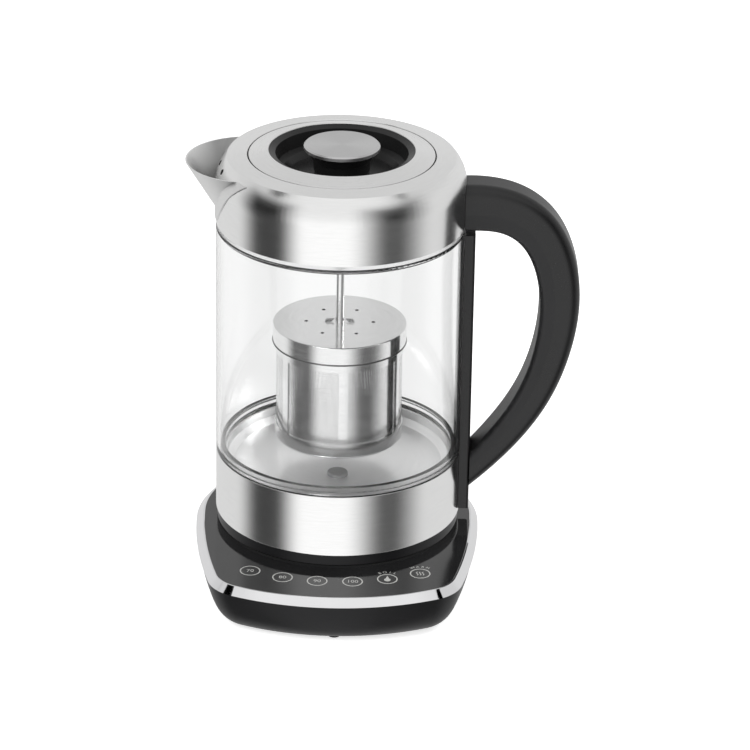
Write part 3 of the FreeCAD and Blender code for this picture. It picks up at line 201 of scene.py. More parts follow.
class ShaderTree(NodeTree):
    """Node tree of one finish."""

    # Where most values of a noise lie
    noise_span: Span = (0.3, 0.7)

    def __init__(self, name: str) -> None:
        """Starts an empty material.

        Args:
            name: Name of the material.
        """
        self.material = bpy.data.materials.new(name)
        self.material.use_nodes = True
        super().__init__(self.material.node_tree)
        self.nodes.clear()
        self.output = self.add("OutputMaterial")

    def place(self) -> Socket:
        """Object coordinates, in metres."""
        return self.add("TexCoord").outputs["Object"]

    def noise(self, scale: float, detail: float = 2.0) -> Socket:
        """Plain noise.

        Args:
            scale: Lumps per metre.
            detail: Octaves.

        Returns:
            The noise's value.
        """
        return self.result("TexNoise", Vector=self.place(), Scale=scale, Detail=detail)

    def brushed_noise(self, lines: float, sweep: float) -> Socket:
        """Noise drawn out into lines round the object's axis.

        Args:
            lines: Lines per metre across the brushing.
            sweep: How often a line changes round the axis.

        Returns:
            The noise's value.
        """
        nearest = 0.0001
        x, y, z = self.add("SeparateXYZ", Vector=self.place()).outputs
        squares = self.math("ADD", self.math("MULTIPLY", x, x), self.math("MULTIPLY", y, y))
        radius = self.math("SQRT", squares)
        safe = self.math("MAXIMUM", radius, nearest)
        along_x, along_y = [self.math("MULTIPLY", self.math("DIVIDE", part, safe), sweep)
                            for part in (x, y)]
        point = self.result("CombineXYZ", X=along_x, Y=along_y, Z=self.math("MULTIPLY", z, lines))
        outwards = self.math("MULTIPLY", radius, lines)
        return self.result("TexNoise", {"noise_dimensions": "4D"}, Vector=point, W=outwards, Scale=1.0,
                           Detail=1.0)

    def tangent(self) -> Socket:
        """Direction of the brush lines round the axis.

        Returns:
            The direction's socket, in world space.
        """
        x, y, _ = self.add("SeparateXYZ", Vector=self.place()).outputs
        turned = self.result("CombineXYZ", X=self.math("MULTIPLY", y, -1.0), Y=x, Z=0.0)
        change = {"vector_type": "VECTOR", "convert_from": "OBJECT", "convert_to": "WORLD"}
        return self.result("VectorTransform", change, Vector=turned)

    def vector(self, operation: str, *values: Any) -> Any:
        """Adds a Vector Math node.

        Args:
            operation: Name of the operation, as the node has it.
            values: Vectors or sockets for its inputs, in order.

        Returns:
            The node's outputs.
        """
        return self.fill(self.add("VectorMath", {"operation": operation}), *values).outputs

    def painted_hollow_shade(self, near: float, far: float) -> Socket:
        """How deep inside an upright hollow the metal lies, as the mask of painted shade there.

        Args:
            near: Distance from the axis where it is deepest.
            far: Distance from the axis of the hollow's open lip.

        Returns:
            1 on faces near the axis that look at it, 0 at the lip and on faces that look away.
        """
        turn_start, turn_end = 0.02, 0.12
        to_axis = self.vector("MULTIPLY", self.place(), (-1.0, -1.0, 0.0))[0]
        distance = self.vector("LENGTH", to_axis)["Value"]
        normal = self.add("TexCoord").outputs["Normal"]
        facing = self.vector("DOT_PRODUCT", self.vector("NORMALIZE", to_axis)[0], normal)["Value"]
        depth = self.spread(distance, near, far, 1.0, 0.0)
        return self.math("MULTIPLY", depth, self.spread(facing, turn_start, turn_end, 0.0, 1.0))

    def ramp(self, value: Socket, low: float, high: float) -> Socket:
        """Spreads a noise value over a range.

        Args:
            value: Value of the noise.
            low: Result at the noise's usual low end.
            high: Result at the noise's usual high end.

        Returns:
            The spread value.
        """
        return self.spread(value, *self.noise_span, low, high)

    def drift(self, value: Socket, middle: float, change: float) -> Socket:
        """Spreads a noise value evenly to both sides of a number.

        Args:
            value: Value of the noise.
            middle: The number.
            change: Reach to each side.

        Returns:
            The spread value.
        """
        return self.ramp(value, middle - change, middle + change)

    def mix(self, value: Socket, first: Any, second: Any) -> Socket:
        """Mixes two colours.

        Args:
            value: Mix, from 0 to 1.
            first: Colour or socket at 0.
            second: Colour or socket at 1.

        Returns:
            The colour's socket.
        """
        node = self.add("Mix", {"data_type": "RGBA"})
        for index, part in zip((0, 6, 7), (value, first, second)):
            self.put(node.inputs[index], part)
        return node.outputs[2]

    def tint(self, value: Socket, colour: Colour, dark: float, light: float = 1.0) -> Socket:
        """Mixes a darker and a lighter shade of a colour.

        Args:
            value: Mix, from 0 to 1.
            colour: The colour.
            dark: Its factor at 0.
            light: Its factor at 1.

        Returns:
            The colour's socket.
        """
        return self.mix(value, shade(colour, dark), shade(colour, light))

    def bump(self, height: Socket, depth: float, strength: float = 1.0) -> Socket:
        """Normal from a height.

        Args:
            height: Height from 0 to 1.
            depth: Depth of the relief in metres.
            strength: How much of it shows.

        Returns:
            The normal's socket.
        """
        return self.result("Bump", Height=height, Distance=depth, Strength=strength)

    def finish(self, shader: bpy.types.Node) -> bpy.types.Material:
        """Links the surface shader and gives the material.

        Args:
            shader: Last shader of the surface.

        Returns:
            The finished material.
        """
        self.put(self.output.inputs["Surface"], shader.outputs[0])
        return self.material


def shade(colour: Colour, factor: float) -> tuple[float, float, float, float]:
    """A colour made lighter or darker by a factor.

    Args:
        colour: The colour.
        factor: What each part is multiplied by.

    Returns:
        The shade with full opacity.
    """
    return (*(min(1.0, part * factor) for part in colour), 1.0)


# Finishes


@dataclass(frozen=True)
class Steel:
    """Stainless steel, brushed or polished."""

    name: str
    colour: Colour = (0.97, 0.97, 0.965)
    roughness: float = 0.22
    spread: float = 0.03
    anisotropy: float = 0.75
    quarter_turn: float = 0.25
    lines: float = 5200.0
    sweep: float = 9.0
    line_shade: float = 0.93
    depth: float = 0.000005
    clouds: float = 22.0
    cloud_haze: float = 0.02
    # Nearest and farthest distance from the axis of a hollow that painted shade darkens inwards, and the
    # colour's factor where that painted shade is deepest
    painted_hollow_shade: Span | None = None
    painted_shade_factor: float = 0.42

    def make(self) -> bpy.types.Material:
        """Makes brush lines in colour, roughness and relief, with the highlight drawn across them, and
        painted shade inside a hollow where one is given.

        Returns:
            The material.
        """
        tree = ShaderTree(self.name)
        lines = tree.brushed_noise(self.lines, self.sweep)
        colour = tree.tint(tree.ramp(lines, 0.0, 1.0), self.colour, self.line_shade)
        # Painted shade: metal inside the hollow that faces the axis is darkened towards it
        if self.painted_hollow_shade:
            colour = tree.mix(tree.painted_hollow_shade(*self.painted_hollow_shade), colour, shade(self.colour, self.painted_shade_factor))
        return tree.finish(tree.add(
            "BsdfPrincipled",
            Base_Color=colour,
            Metallic=1.0,
            Roughness=tree.math("ADD", tree.drift(lines, self.roughness, self.spread),
                                tree.drift(tree.noise(self.clouds), 0.0, self.cloud_haze)),
            Normal=tree.bump(lines, self.depth),
            Anisotropic=self.anisotropy,
            Anisotropic_Rotation=self.quarter_turn,
            Tangent=tree.tangent(),
        ))


@dataclass(frozen=True)
class Moulding:
    """Moulded plastic or rubber with a fine spark-eroded texture."""

    name: str
    colour: Colour
    roughness: float = 0.42
    specular: float = 0.3
    speckle: float = 2600.0
    speckle_haze: float = 0.05
    depth: float = 0.00002
    relief: float = 0.6
    clouds: float = 35.0
    cloud_shade: float = 0.15
    cloud_haze: float = 0.03

    def make(self) -> bpy.types.Material:
        """Makes a fine speckle in relief, and soft clouds in colour and gloss.

        Returns:
            The material.
        """
        tree = ShaderTree(self.name)
        speckle = tree.noise(self.speckle)
        clouds = tree.noise(self.clouds)
        return tree.finish(tree.add(
            "BsdfPrincipled",
            Base_Color=tree.tint(tree.ramp(clouds, 0.0, 1.0), self.colour, 1 - self.cloud_shade,
                                 1 + self.cloud_shade),
            Roughness=tree.math("ADD", tree.drift(speckle, self.roughness, self.speckle_haze),
                                tree.drift(clouds, 0.0, self.cloud_haze)),
            Normal=tree.bump(speckle, self.depth, self.relief),
            Specular_IOR_Level=self.specular,
        ))


@dataclass(frozen=True)
class Glass:
    """Clear borosilicate glass."""

    name: str
    colour: Colour = (0.998, 1.0, 0.999)
    index: float = 1.45
    haze: float = 0.0
    haze_change: float = 0.012
    waves: float = 14.0
    wave_detail: float = 1.0
    wave_shade: float = 0.99
    depth: float = 0.00008
    relief: float = 0.3

    def make(self) -> bpy.types.Material:
        """Makes clear glass with the faint waviness of a drawn tube.

        Returns:
            The material.
        """
        tree = ShaderTree(self.name)
        waves = tree.noise(self.waves, self.wave_detail)
        return tree.finish(tree.add(
            "BsdfPrincipled",
            Base_Color=tree.tint(waves, self.colour, self.wave_shade),
            Roughness=tree.ramp(waves, self.haze, self.haze + self.haze_change),
            Transmission_Weight=1.0,
            IOR=self.index,
            Normal=tree.bump(waves, self.depth, self.relief),
        ))


@dataclass(frozen=True)
class Plated:
    """Mirror plating or bare metal with small flaws."""

    name: str
    colour: Colour
    roughness: float = 0.05
    # Factors of the roughness at its glossiest and dullest
    gloss_drift: Span = (0.7, 1.4)
    flaws: float = 60.0
    flaw_detail: float = 3.0
    flaw_shade: float = 0.96
    depth: float = 0.00001
    relief: float = 0.4

    def make(self) -> bpy.types.Material:
        """Makes metal whose gloss drifts a little over the surface.

        Returns:
            The material.
        """
        tree = ShaderTree(self.name)
        haze = tree.noise(self.flaws, self.flaw_detail)
        return tree.finish(tree.add(
            "BsdfPrincipled",
            Base_Color=tree.tint(haze, self.colour, self.flaw_shade),
            Metallic=1.0,
            Roughness=tree.ramp(haze, *(self.roughness * factor for factor in self.gloss_drift)),
            Normal=tree.bump(haze, self.depth, self.relief),
        ))


@dataclass(frozen=True)
class PrintInk:
    """Pale matt ink of the panel's print."""

    name: str
    colour: Colour = (0.62, 0.62, 0.6)
    roughness: Span = (0.35, 0.5)
    grains: float = 900.0
    grain_shade: float = 0.85
    depth: float = 0.000005
    relief: float = 0.3

    def make(self) -> bpy.types.Material:
        """Makes ink with an uneven density.

        Returns:
            The material.
        """
        tree = ShaderTree(self.name)
        density = tree.noise(self.grains)
        return tree.finish(tree.add(
            "BsdfPrincipled",
            Base_Color=tree.tint(density, self.colour, self.grain_shade),
            Roughness=tree.ramp(density, *self.roughness),
            Normal=tree.bump(density, self.depth, self.relief),
        ))


FINISHES = {finish.name: finish for finish in (
    Moulding("shell_black", (0.011, 0.011, 0.012), roughness=0.36, specular=0.24),
    Moulding("panel_gloss", (0.016, 0.016, 0.0165), roughness=0.07, specular=0.9, depth=0.0),
    Plated("chrome", (0.93, 0.93, 0.94)),
    Steel("brushed_steel"),
    Steel("lid_steel", (0.95, 0.95, 0.945), roughness=0.3, lines=3800.0, sweep=5.0),
    # The spout's steel has painted shade darkening its inside towards the axis
    Steel("spout_steel", (0.9, 0.9, 0.895), roughness=0.38, lines=3800.0, sweep=5.0, painted_hollow_shade=(0.074, 0.087)),
    # Darker steel on the temperature probe is painted shade of its boss
    Steel("probe_steel_painted_shade", (0.42, 0.42, 0.42), roughness=0.5, lines=2400.0, sweep=3.0),
    Steel("knob_steel", (0.68, 0.68, 0.68), roughness=0.34, lines=4200.0, sweep=4.0),
    Steel("polished_steel", (0.9, 0.9, 0.9), roughness=0.13, spread=0.04, anisotropy=0.5, lines=2600.0,
          sweep=3.0),
    # Near-black steel for the cord of painted shadow under the cap's band
    Steel("painted_gap_shadow", (0.15, 0.15, 0.15), roughness=0.3, lines=2600.0, sweep=3.0),
    Steel("heater_steel", (0.97, 0.97, 0.97), roughness=0.36, lines=2400.0, sweep=3.0),
    Glass("clear_glass"),
    Moulding("seal_grey", (0.3, 0.3, 0.3), roughness=0.55),
    Glass("seal_clear", (0.93, 0.93, 0.93), index=1.4, haze=0.22),
    # Near black for the painted shade in openings
    Moulding("painted_opening_shade", (0.02, 0.02, 0.02), roughness=0.7, specular=0.1),
    Moulding("rubber_black", (0.013, 0.013, 0.013), roughness=0.65, specular=0.2),
    Moulding("handle_black", (0.012, 0.012, 0.0125), roughness=0.32, specular=0.45),
    Moulding("liner_black", (0.016, 0.016, 0.017), roughness=0.4, specular=0.4),
    Moulding("cup_black", (0.017, 0.017, 0.017), roughness=0.3, specular=0.24, depth=0.000004),
    Moulding("plug_black", (0.015, 0.015, 0.015), roughness=0.5),
    Plated("brass", (0.83, 0.62, 0.3), roughness=0.2),
    Plated("aluminium", (0.75, 0.75, 0.76), roughness=0.4),
    Moulding("board_green", (0.015, 0.12, 0.045), roughness=0.3, specular=0.5, speckle=900.0),
    Moulding("component", (0.08, 0.08, 0.1), roughness=0.45),
    Plated("screw_steel", (0.55, 0.55, 0.54), roughness=0.28),
    PrintInk("print_ink"),
)}
# Solids whose finish is their own and not the one of the record's slot
OTHER_FINISH = {"lid_ring": "lid_steel", "knob_cap": "knob_steel", "handle_liner": "liner_black",
                "upper_seal": "seal_clear", "lower_seal": "seal_clear", "spout": "spout_steel",
                "temperature_probe": "probe_steel_painted_shade"}


class FinishShop:
    """Makes each finish once and hands it out."""

    def __init__(self) -> None:
        """Starts with no material made."""
        self.made: dict[str, bpy.types.Material] = {}

    def get(self, name: str) -> bpy.types.Material:
        """The material of a finish, made at first use.

        Args:
            name: Name of the finish.

        Returns:
            Its material.
        """
        if name not in self.made:
            self.made[name] = FINISHES[name].make()
        return self.made[name]

    def dress(self, node: str, slot: str) -> None:
        """Gives a solid of the frame its finish.

        Args:
            node: Name of the solid.
            slot: The record's slot for it.
        """
        name = OTHER_FINISH.get(node, slot)
        data = frame["nodes"][node].data
        if not data.materials:
            data.materials.append(self.get(name))
        for index in range(len(data.materials)):
            data.materials[index] = self.get(name)
        LOG.info("solid %s: %s", node, name)


@dataclass
class SolidFinishes:
    """Finishes of all the solids that stay as they are."""

    hidden: tuple[str, ...] = ("mesh_sleeve",)

    def build(self, shop: FinishShop) -> None:
        """Dresses each solid by the record's slot.

        Args:
            shop: Store of finishes.
        """
        for item in frame["record"]["subparts"]:
            if item["node"] not in self.hidden:
                shop.dress(item["node"], item["material_slot"])


# Geometry trees


class GeometryTree(NodeTree):
    """Geometry Nodes tree that makes one piece."""

    prefix = "GeometryNode"

    def __init__(self, name: str) -> None:
        """Starts a tree with a geometry output.

        Args:
            name: Name of the tree and of its piece.
        """
        self.name = name
        self.group = bpy.data.node_groups.new(name, "GeometryNodeTree")
        super().__init__(self.group)
        self.group.interface.new_socket("Geometry", in_out="OUTPUT", socket_type="NodeSocketGeometry")
        self.start = self.add("NodeGroupInput")
        self.end = self.add("NodeGroupOutput")
        self.values: dict[str, Any] = {}

    def given(self, name: str, value: Any, kind: str = "Float") -> Socket:
        """Adds a named input.

        Args:
            name: Name of the input.
            value: Its value for this piece.
            kind: Type of its socket.

        Returns:
            The input's socket inside the tree.
        """
        item = self.group.interface.new_socket(name, in_out="INPUT", socket_type=f"NodeSocket{kind}")
        self.values[item.identifier] = value
        return self.start.outputs[name]

    def point(self, **parts: Any) -> Socket:
        """A vector from its parts, of which the missing ones are 0.

        Args:
            parts: Numbers or sockets for X, Y and Z.

        Returns:
            The vector's socket.
        """
        return self.result("ShaderNodeCombineXYZ", **parts)

    def ring(self, sides: int, radius: Socket) -> Socket:
        """A round curve.

        Args:
            sides: Number of its points.
            radius: Its radius.

        Returns:
            The curve's socket.
        """
        return self.result("CurvePrimitiveCircle", Resolution=sides, Radius=radius)

    def repeat(self, points: Socket, item: Socket, **inputs: Any) -> Socket:
        """Sets an item on each point.

        Args:
            points: Where the items go.
            item: The item's geometry.
            inputs: Other inputs, such as a rotation.

        Returns:
            The items' socket.
        """
        return self.result("InstanceOnPoints", Points=points, Instance=item, **inputs)

    def piece(self, shape: Socket, material: bpy.types.Material) -> bpy.types.Object:
        """Closes the tree, runs it and keeps the result as a plain mesh.

        Args:
            shape: Last geometry socket.
            material: The piece's finish.

        Returns:
            The finished object at the origin.
        """
        paint = self.given("Finish", material, "Material")
        real = self.result("RealizeInstances", Geometry=shape)
        self.put(self.end.inputs[0], self.result("SetMaterial", Geometry=real, Material=paint))
        carrier = link_object(self.name, bpy.data.meshes.new(f"{self.name}_seed"))
        modifier = carrier.modifiers.new("make", "NODES")
        modifier.node_group = self.group
        for identifier, value in self.values.items():
            modifier[identifier] = value
        mesh = evaluated_mesh(carrier)
        carrier.modifiers.remove(modifier)
        carrier.data = mesh
        mesh.name = self.name
        if not mesh.materials:
            mesh.materials.append(material)
        return carrier


def link_object(name: str, data: Any) -> bpy.types.Object:
    """Adds an object to the scene at the origin.

    Args:
        name: Name of the object.
        data: Its mesh, curve, lamp or camera.

    Returns:
        The object.
    """
    item = bpy.data.objects.new(name, data)
    bpy.context.scene.collection.objects.link(item)
    return item


def evaluated_mesh(item: bpy.types.Object) -> bpy.types.Mesh:
    """Plain mesh of an object as its modifiers or its type make it."""
    return bpy.data.meshes.new_from_object(item.evaluated_get(bpy.context.evaluated_depsgraph_get()))


def fit_piece(item: bpy.types.Object, body: Body, slot: str, *nodes: str) -> None:
    """Ties a new piece to its body.

    Args:
        item: The piece.
        body: Body that it rides on.
        slot: Not used.
        nodes: Solids that it stands for.
    """
    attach(item, body.value)
    if nodes:
        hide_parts(*nodes)
    LOG.info("piece %s: %d faces on %s", item.name, len(item.data.polygons), body.value)


def face_up(mesh: bpy.types.Mesh) -> None:
    """Turns flat faces that point down."""
    if sum(face.normal.z for face in mesh.polygons) < 0:
        mesh.flip_normals()


def flat_face(name: str, points: Sequence[Sequence[float]], move: Matrix) -> bpy.types.Mesh:
    """One flat face from its outline.

    Args:
        name: Name of the mesh.
        points: Corners in order.
        move: Where the face goes.

    Returns:
        The mesh in its place.
    """
    mesh = bpy.data.meshes.new(name)
    mesh.from_pydata([tuple(point) for point in points], [], [list(range(len(points)))])
    mesh.transform(move)
    return mesh


def flat_piece(name: str, meshes: Sequence[bpy.types.Mesh],
               material: bpy.types.Material) -> bpy.types.Object:
    """Joins flat meshes into one piece with its faces up.

    Args:
        name: Name of the piece.
        meshes: Flat meshes already in place.
        material: Their finish.

    Returns:
        The piece at the origin.
    """
    points: list[tuple[float, float, float]] = []
    faces: list[list[int]] = []
    for mesh in meshes:
        face_up(mesh)
        first = len(points)
        points.extend(tuple(vertex.co) for vertex in mesh.vertices)
        faces.extend([first + corner for corner in face.vertices] for face in mesh.polygons)
        bpy.data.meshes.remove(mesh)
    joined = bpy.data.meshes.new(name)
    joined.from_pydata(points, [], faces)
    joined.materials.append(material)
    return link_object(name, joined)


# Sub-assemblies


@dataclass
class PanelPrint:
    """Print on the gloss panel: six touch rings, numbers, two signs and two words."""

    ink: str = "print_ink"
    ink_lift: float = 0.00004
    arc_radius: float = 0.1076
    arc_back: float = 0.0173
    pitch: float = math.radians(10.84)
    count: int = 6
    ring_radius: float = 0.0056
    ring_sides: int = 72
    line: float = 0.0007
    number_size: float = 0.0045
    numbers: tuple[str, ...] = ("70", "80", "90", "100")
    caption_size: float = 0.003
    caption_radius: float = 0.0083
    caption_pitch: float = math.radians(21.0)
    captions: tuple[tuple[int, str], ...] = ((4, "BOIL"), (5, "WARM"))
    # A drop is an arc of a circle and a tip above it, both in radii of that circle
    drop_field: int = 4
    drop_radius: float = 0.0019
    drop_tip: float = 2.1
    drop_sink: float = 0.5
    drop_start: float = math.radians(55)
    drop_arc: float = math.radians(290)
    drop_steps: int = 28
    wave_field: int = 5
    wave_places: tuple[float, ...] = (-0.0017, 0.0, 0.0017)
    wave_height: float = 0.0042
    wave_swing: float = 0.0004
    wave_half_width: float = 0.00028
    wave_steps: int = 14

    def centre(self, index: int) -> Vector:
        """Centre of one touch field on the panel's face.

        Args:
            index: Number of the field, from the left.

        Returns:
            The centre.
        """
        angle = self.pitch * (index - (self.count - 1) / 2)
        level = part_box("control_panel")[1].z + self.ink_lift
        back = self.arc_back - self.arc_radius * math.cos(angle)
        return Vector((self.arc_radius * math.sin(angle), back, level))

    def rings(self, shop: FinishShop) -> bpy.types.Object:
        """Makes the flat rings set out along the arc.

        Args:
            shop: Store of finishes.

        Returns:
            The piece.
        """
        tree = GeometryTree("touch_rings")
        arc = tree.given("Arc Radius", self.arc_radius)
        back = tree.given("Arc Back", self.arc_back)
        pitch = tree.given("Pitch", self.pitch)
        count = tree.given("Count", self.count, "Int")
        radius = tree.given("Ring Radius", self.ring_radius)
        line = tree.given("Line Width", self.line)
        level = tree.given("Level", self.centre(0).z)
        middle = tree.math("DIVIDE", tree.math("SUBTRACT", count, 1.0), 2.0)
        angle = tree.math("MULTIPLY", tree.math("SUBTRACT", tree.result("InputIndex"), middle), pitch)
        across = tree.math("MULTIPLY", arc, tree.math("SINE", angle))
        towards = tree.math("SUBTRACT", back, tree.math("MULTIPLY", arc, tree.math("COSINE", angle)))
        points = tree.result("Points", Count=count, Position=tree.point(X=across, Y=towards, Z=level))
        half = tree.math("MULTIPLY", line, 0.5)
        profile = tree.result("CurvePrimitiveLine", Start=tree.point(X=tree.math("MULTIPLY", half, -1.0)),
                              End=tree.point(X=half))
        band = tree.result("CurveToMesh", Curve=tree.ring(self.ring_sides, radius), Profile_Curve=profile)
        item = tree.piece(tree.repeat(points, band), shop.get(self.ink))
        face_up(item.data)
        return item

    def word(self, name: str, parts: Sequence[str], size: float, moves: Sequence[Matrix],
             shop: FinishShop) -> bpy.types.Object:
        """Makes flat lettering.

        Args:
            name: Name of the piece.
            parts: Letters or words.
            size: Height of the letters' line in metres.
            moves: Where each of them goes.
            shop: Store of finishes.

        Returns:
            The lettering as one flat mesh.
        """
        meshes = []
        for part, move in zip(parts, moves):
            curve = bpy.data.curves.new(name, "FONT")
            curve.body = part
            curve.size = size
            curve.align_x = "CENTER"
            curve.align_y = "CENTER"
            carrier = link_object(f"{name}_line", curve)
            bpy.context.view_layer.update()
            mesh = evaluated_mesh(carrier)
            mesh.transform(move)
            bpy.data.objects.remove(carrier)
            meshes.append(mesh)
        return flat_piece(name, meshes, shop.get(self.ink))

    def caption(self, index: int, text: str, shop: FinishShop) -> bpy.types.Object:
        """Makes a small word bent round the far side of a touch ring.

        Args:
            index: Number of the field.
            text: The word.
            shop: Store of finishes.

        Returns:
            The piece.
        """
        moves = []
        for step in range(len(text)):
            lean = (step - (len(text) - 1) / 2) * -self.caption_pitch
            at = self.centre(index) + Matrix.Rotation(lean, 3, "Z") @ Vector((0, self.caption_radius, 0))
            moves.append(Matrix.Translation(at) @ Matrix.Rotation(lean, 4, "Z"))
        return self.word(f"caption_{index}", text, self.caption_size, moves, shop)

    def drop_sign(self, shop: FinishShop) -> bpy.types.Object:
        """Makes the water drop.

        Args:
            shop: Store of finishes.

        Returns:
            The piece.
        """
        radius = self.drop_radius
        points = [(0.0, self.drop_tip * radius, 0.0)]
        for step in range(self.drop_steps + 1):
            angle = self.drop_start - self.drop_arc * step / self.drop_steps
            points.append((radius * math.cos(angle), radius * (math.sin(angle) - self.drop_sink), 0.0))
        return self.sign("drop_sign", [points], self.drop_field, shop)

    def heat_sign(self, shop: FinishShop) -> bpy.types.Object:
        """Makes the rising waves.

        Args:
            shop: Store of finishes.

        Returns:
            The piece.
        """
        steps, half = self.wave_steps, self.wave_half_width
        outlines = []
        for middle in self.wave_places:
            line = [(middle + self.wave_swing * math.sin(2 * math.pi * step / steps),
                     self.wave_height * (step / steps - 0.5)) for step in range(steps + 1)]
            outlines.append([(x + half, y, 0.0) for x, y in line]
                            + [(x - half, y, 0.0) for x, y in reversed(line)])
        return self.sign("heat_sign", outlines, self.wave_field, shop)

    def sign(self, name: str, outlines: Sequence[Sequence[Sequence[float]]], index: int,
             shop: FinishShop) -> bpy.types.Object:
        """Makes a flat sign from closed outlines, in one touch field.

        Args:
            name: Name of the piece.
            outlines: Corners of each face.
            index: Number of the field.
            shop: Store of finishes.

        Returns:
            The piece.
        """
        move = Matrix.Translation(self.centre(index))
        return flat_piece(name, [flat_face(name, points, move) for points in outlines], shop.get(self.ink))

    def build(self, shop: FinishShop) -> None:
        """Makes the whole print.

        Args:
            shop: Store of finishes.
        """
        pieces = [self.rings(shop), self.drop_sign(shop), self.heat_sign(shop)]
        for index, number in enumerate(self.numbers):
            move = Matrix.Translation(self.centre(index))
            pieces.append(self.word(f"number_{index}", [number], self.number_size, [move], shop))
        for index, text in self.captions:
            pieces.append(self.caption(index, text, shop))
        for item in pieces:
            fit_piece(item, Body.BASE, "panel_gloss")


@dataclass
class InfuserWeave:
    """Fine filter cloth behind the basket's windows, rolled flat as such cloth is."""

    pitch: float = 0.00066
    ribbon: float = 0.00037
    crossing: float = 0.00002
    sides: int = 144

    def build(self, shop: FinishShop) -> None:
        """Makes flat hoops and uprights, in the place of the closed sleeve.

        Args:
            shop: Store of finishes.
        """
        low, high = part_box("mesh_sleeve")
        radius = high.x - self.crossing
        tree = GeometryTree("infuser_weave")
        hoop_radius = tree.given("Hoop Radius", radius)
        bar_radius = tree.given("Bar Radius", radius - self.crossing)
        foot = tree.given("Foot", low.z)
        top = tree.given("Top", high.z)
        ribbon = tree.given("Ribbon Width", self.ribbon)
        rows = tree.given("Rows", int((high.z - low.z) / self.pitch), "Int")
        uprights = tree.given("Uprights", int(2 * math.pi * radius / self.pitch), "Int")
        sides = tree.given("Sides", self.sides, "Int")
        column = tree.result("MeshLine", {"mode": "END_POINTS"}, Count=rows,
                             Start_Location=tree.point(Z=foot), Offset=tree.point(Z=top))
        hoop = tree.add("MeshCylinder", {"fill_type": "NONE"}, Vertices=sides, Radius=hoop_radius,
                        Depth=ribbon).outputs["Mesh"]
        plan = tree.result("MeshCircle", Vertices=uprights, Radius=bar_radius)
        flat = tree.result("MeshGrid", Size_X=tree.math("SUBTRACT", top, foot), Size_Y=ribbon, Vertices_X=2,
                           Vertices_Y=2)
        middle = tree.math("MULTIPLY", tree.math("ADD", top, foot), 0.5)
        upright = tree.result("Transform", Geometry=flat, Translation=tree.point(Z=middle),
                              Rotation=tree.point(Y=math.pi / 2))
        place = tree.result("InputPosition")
        facing = tree.result("FunctionNodeAlignRotationToVector", {"axis": "X"}, Vector=place)
        joined = tree.add("JoinGeometry")
        for ribbons in (tree.repeat(column, hoop), tree.repeat(plan, upright, Rotation=facing)):
            tree.put(joined.inputs[0], ribbons)
        item = tree.piece(joined.outputs[0], shop.get("polished_steel"))
        fit_piece(item, Body.BASKET, "polished_steel", "mesh_sleeve")


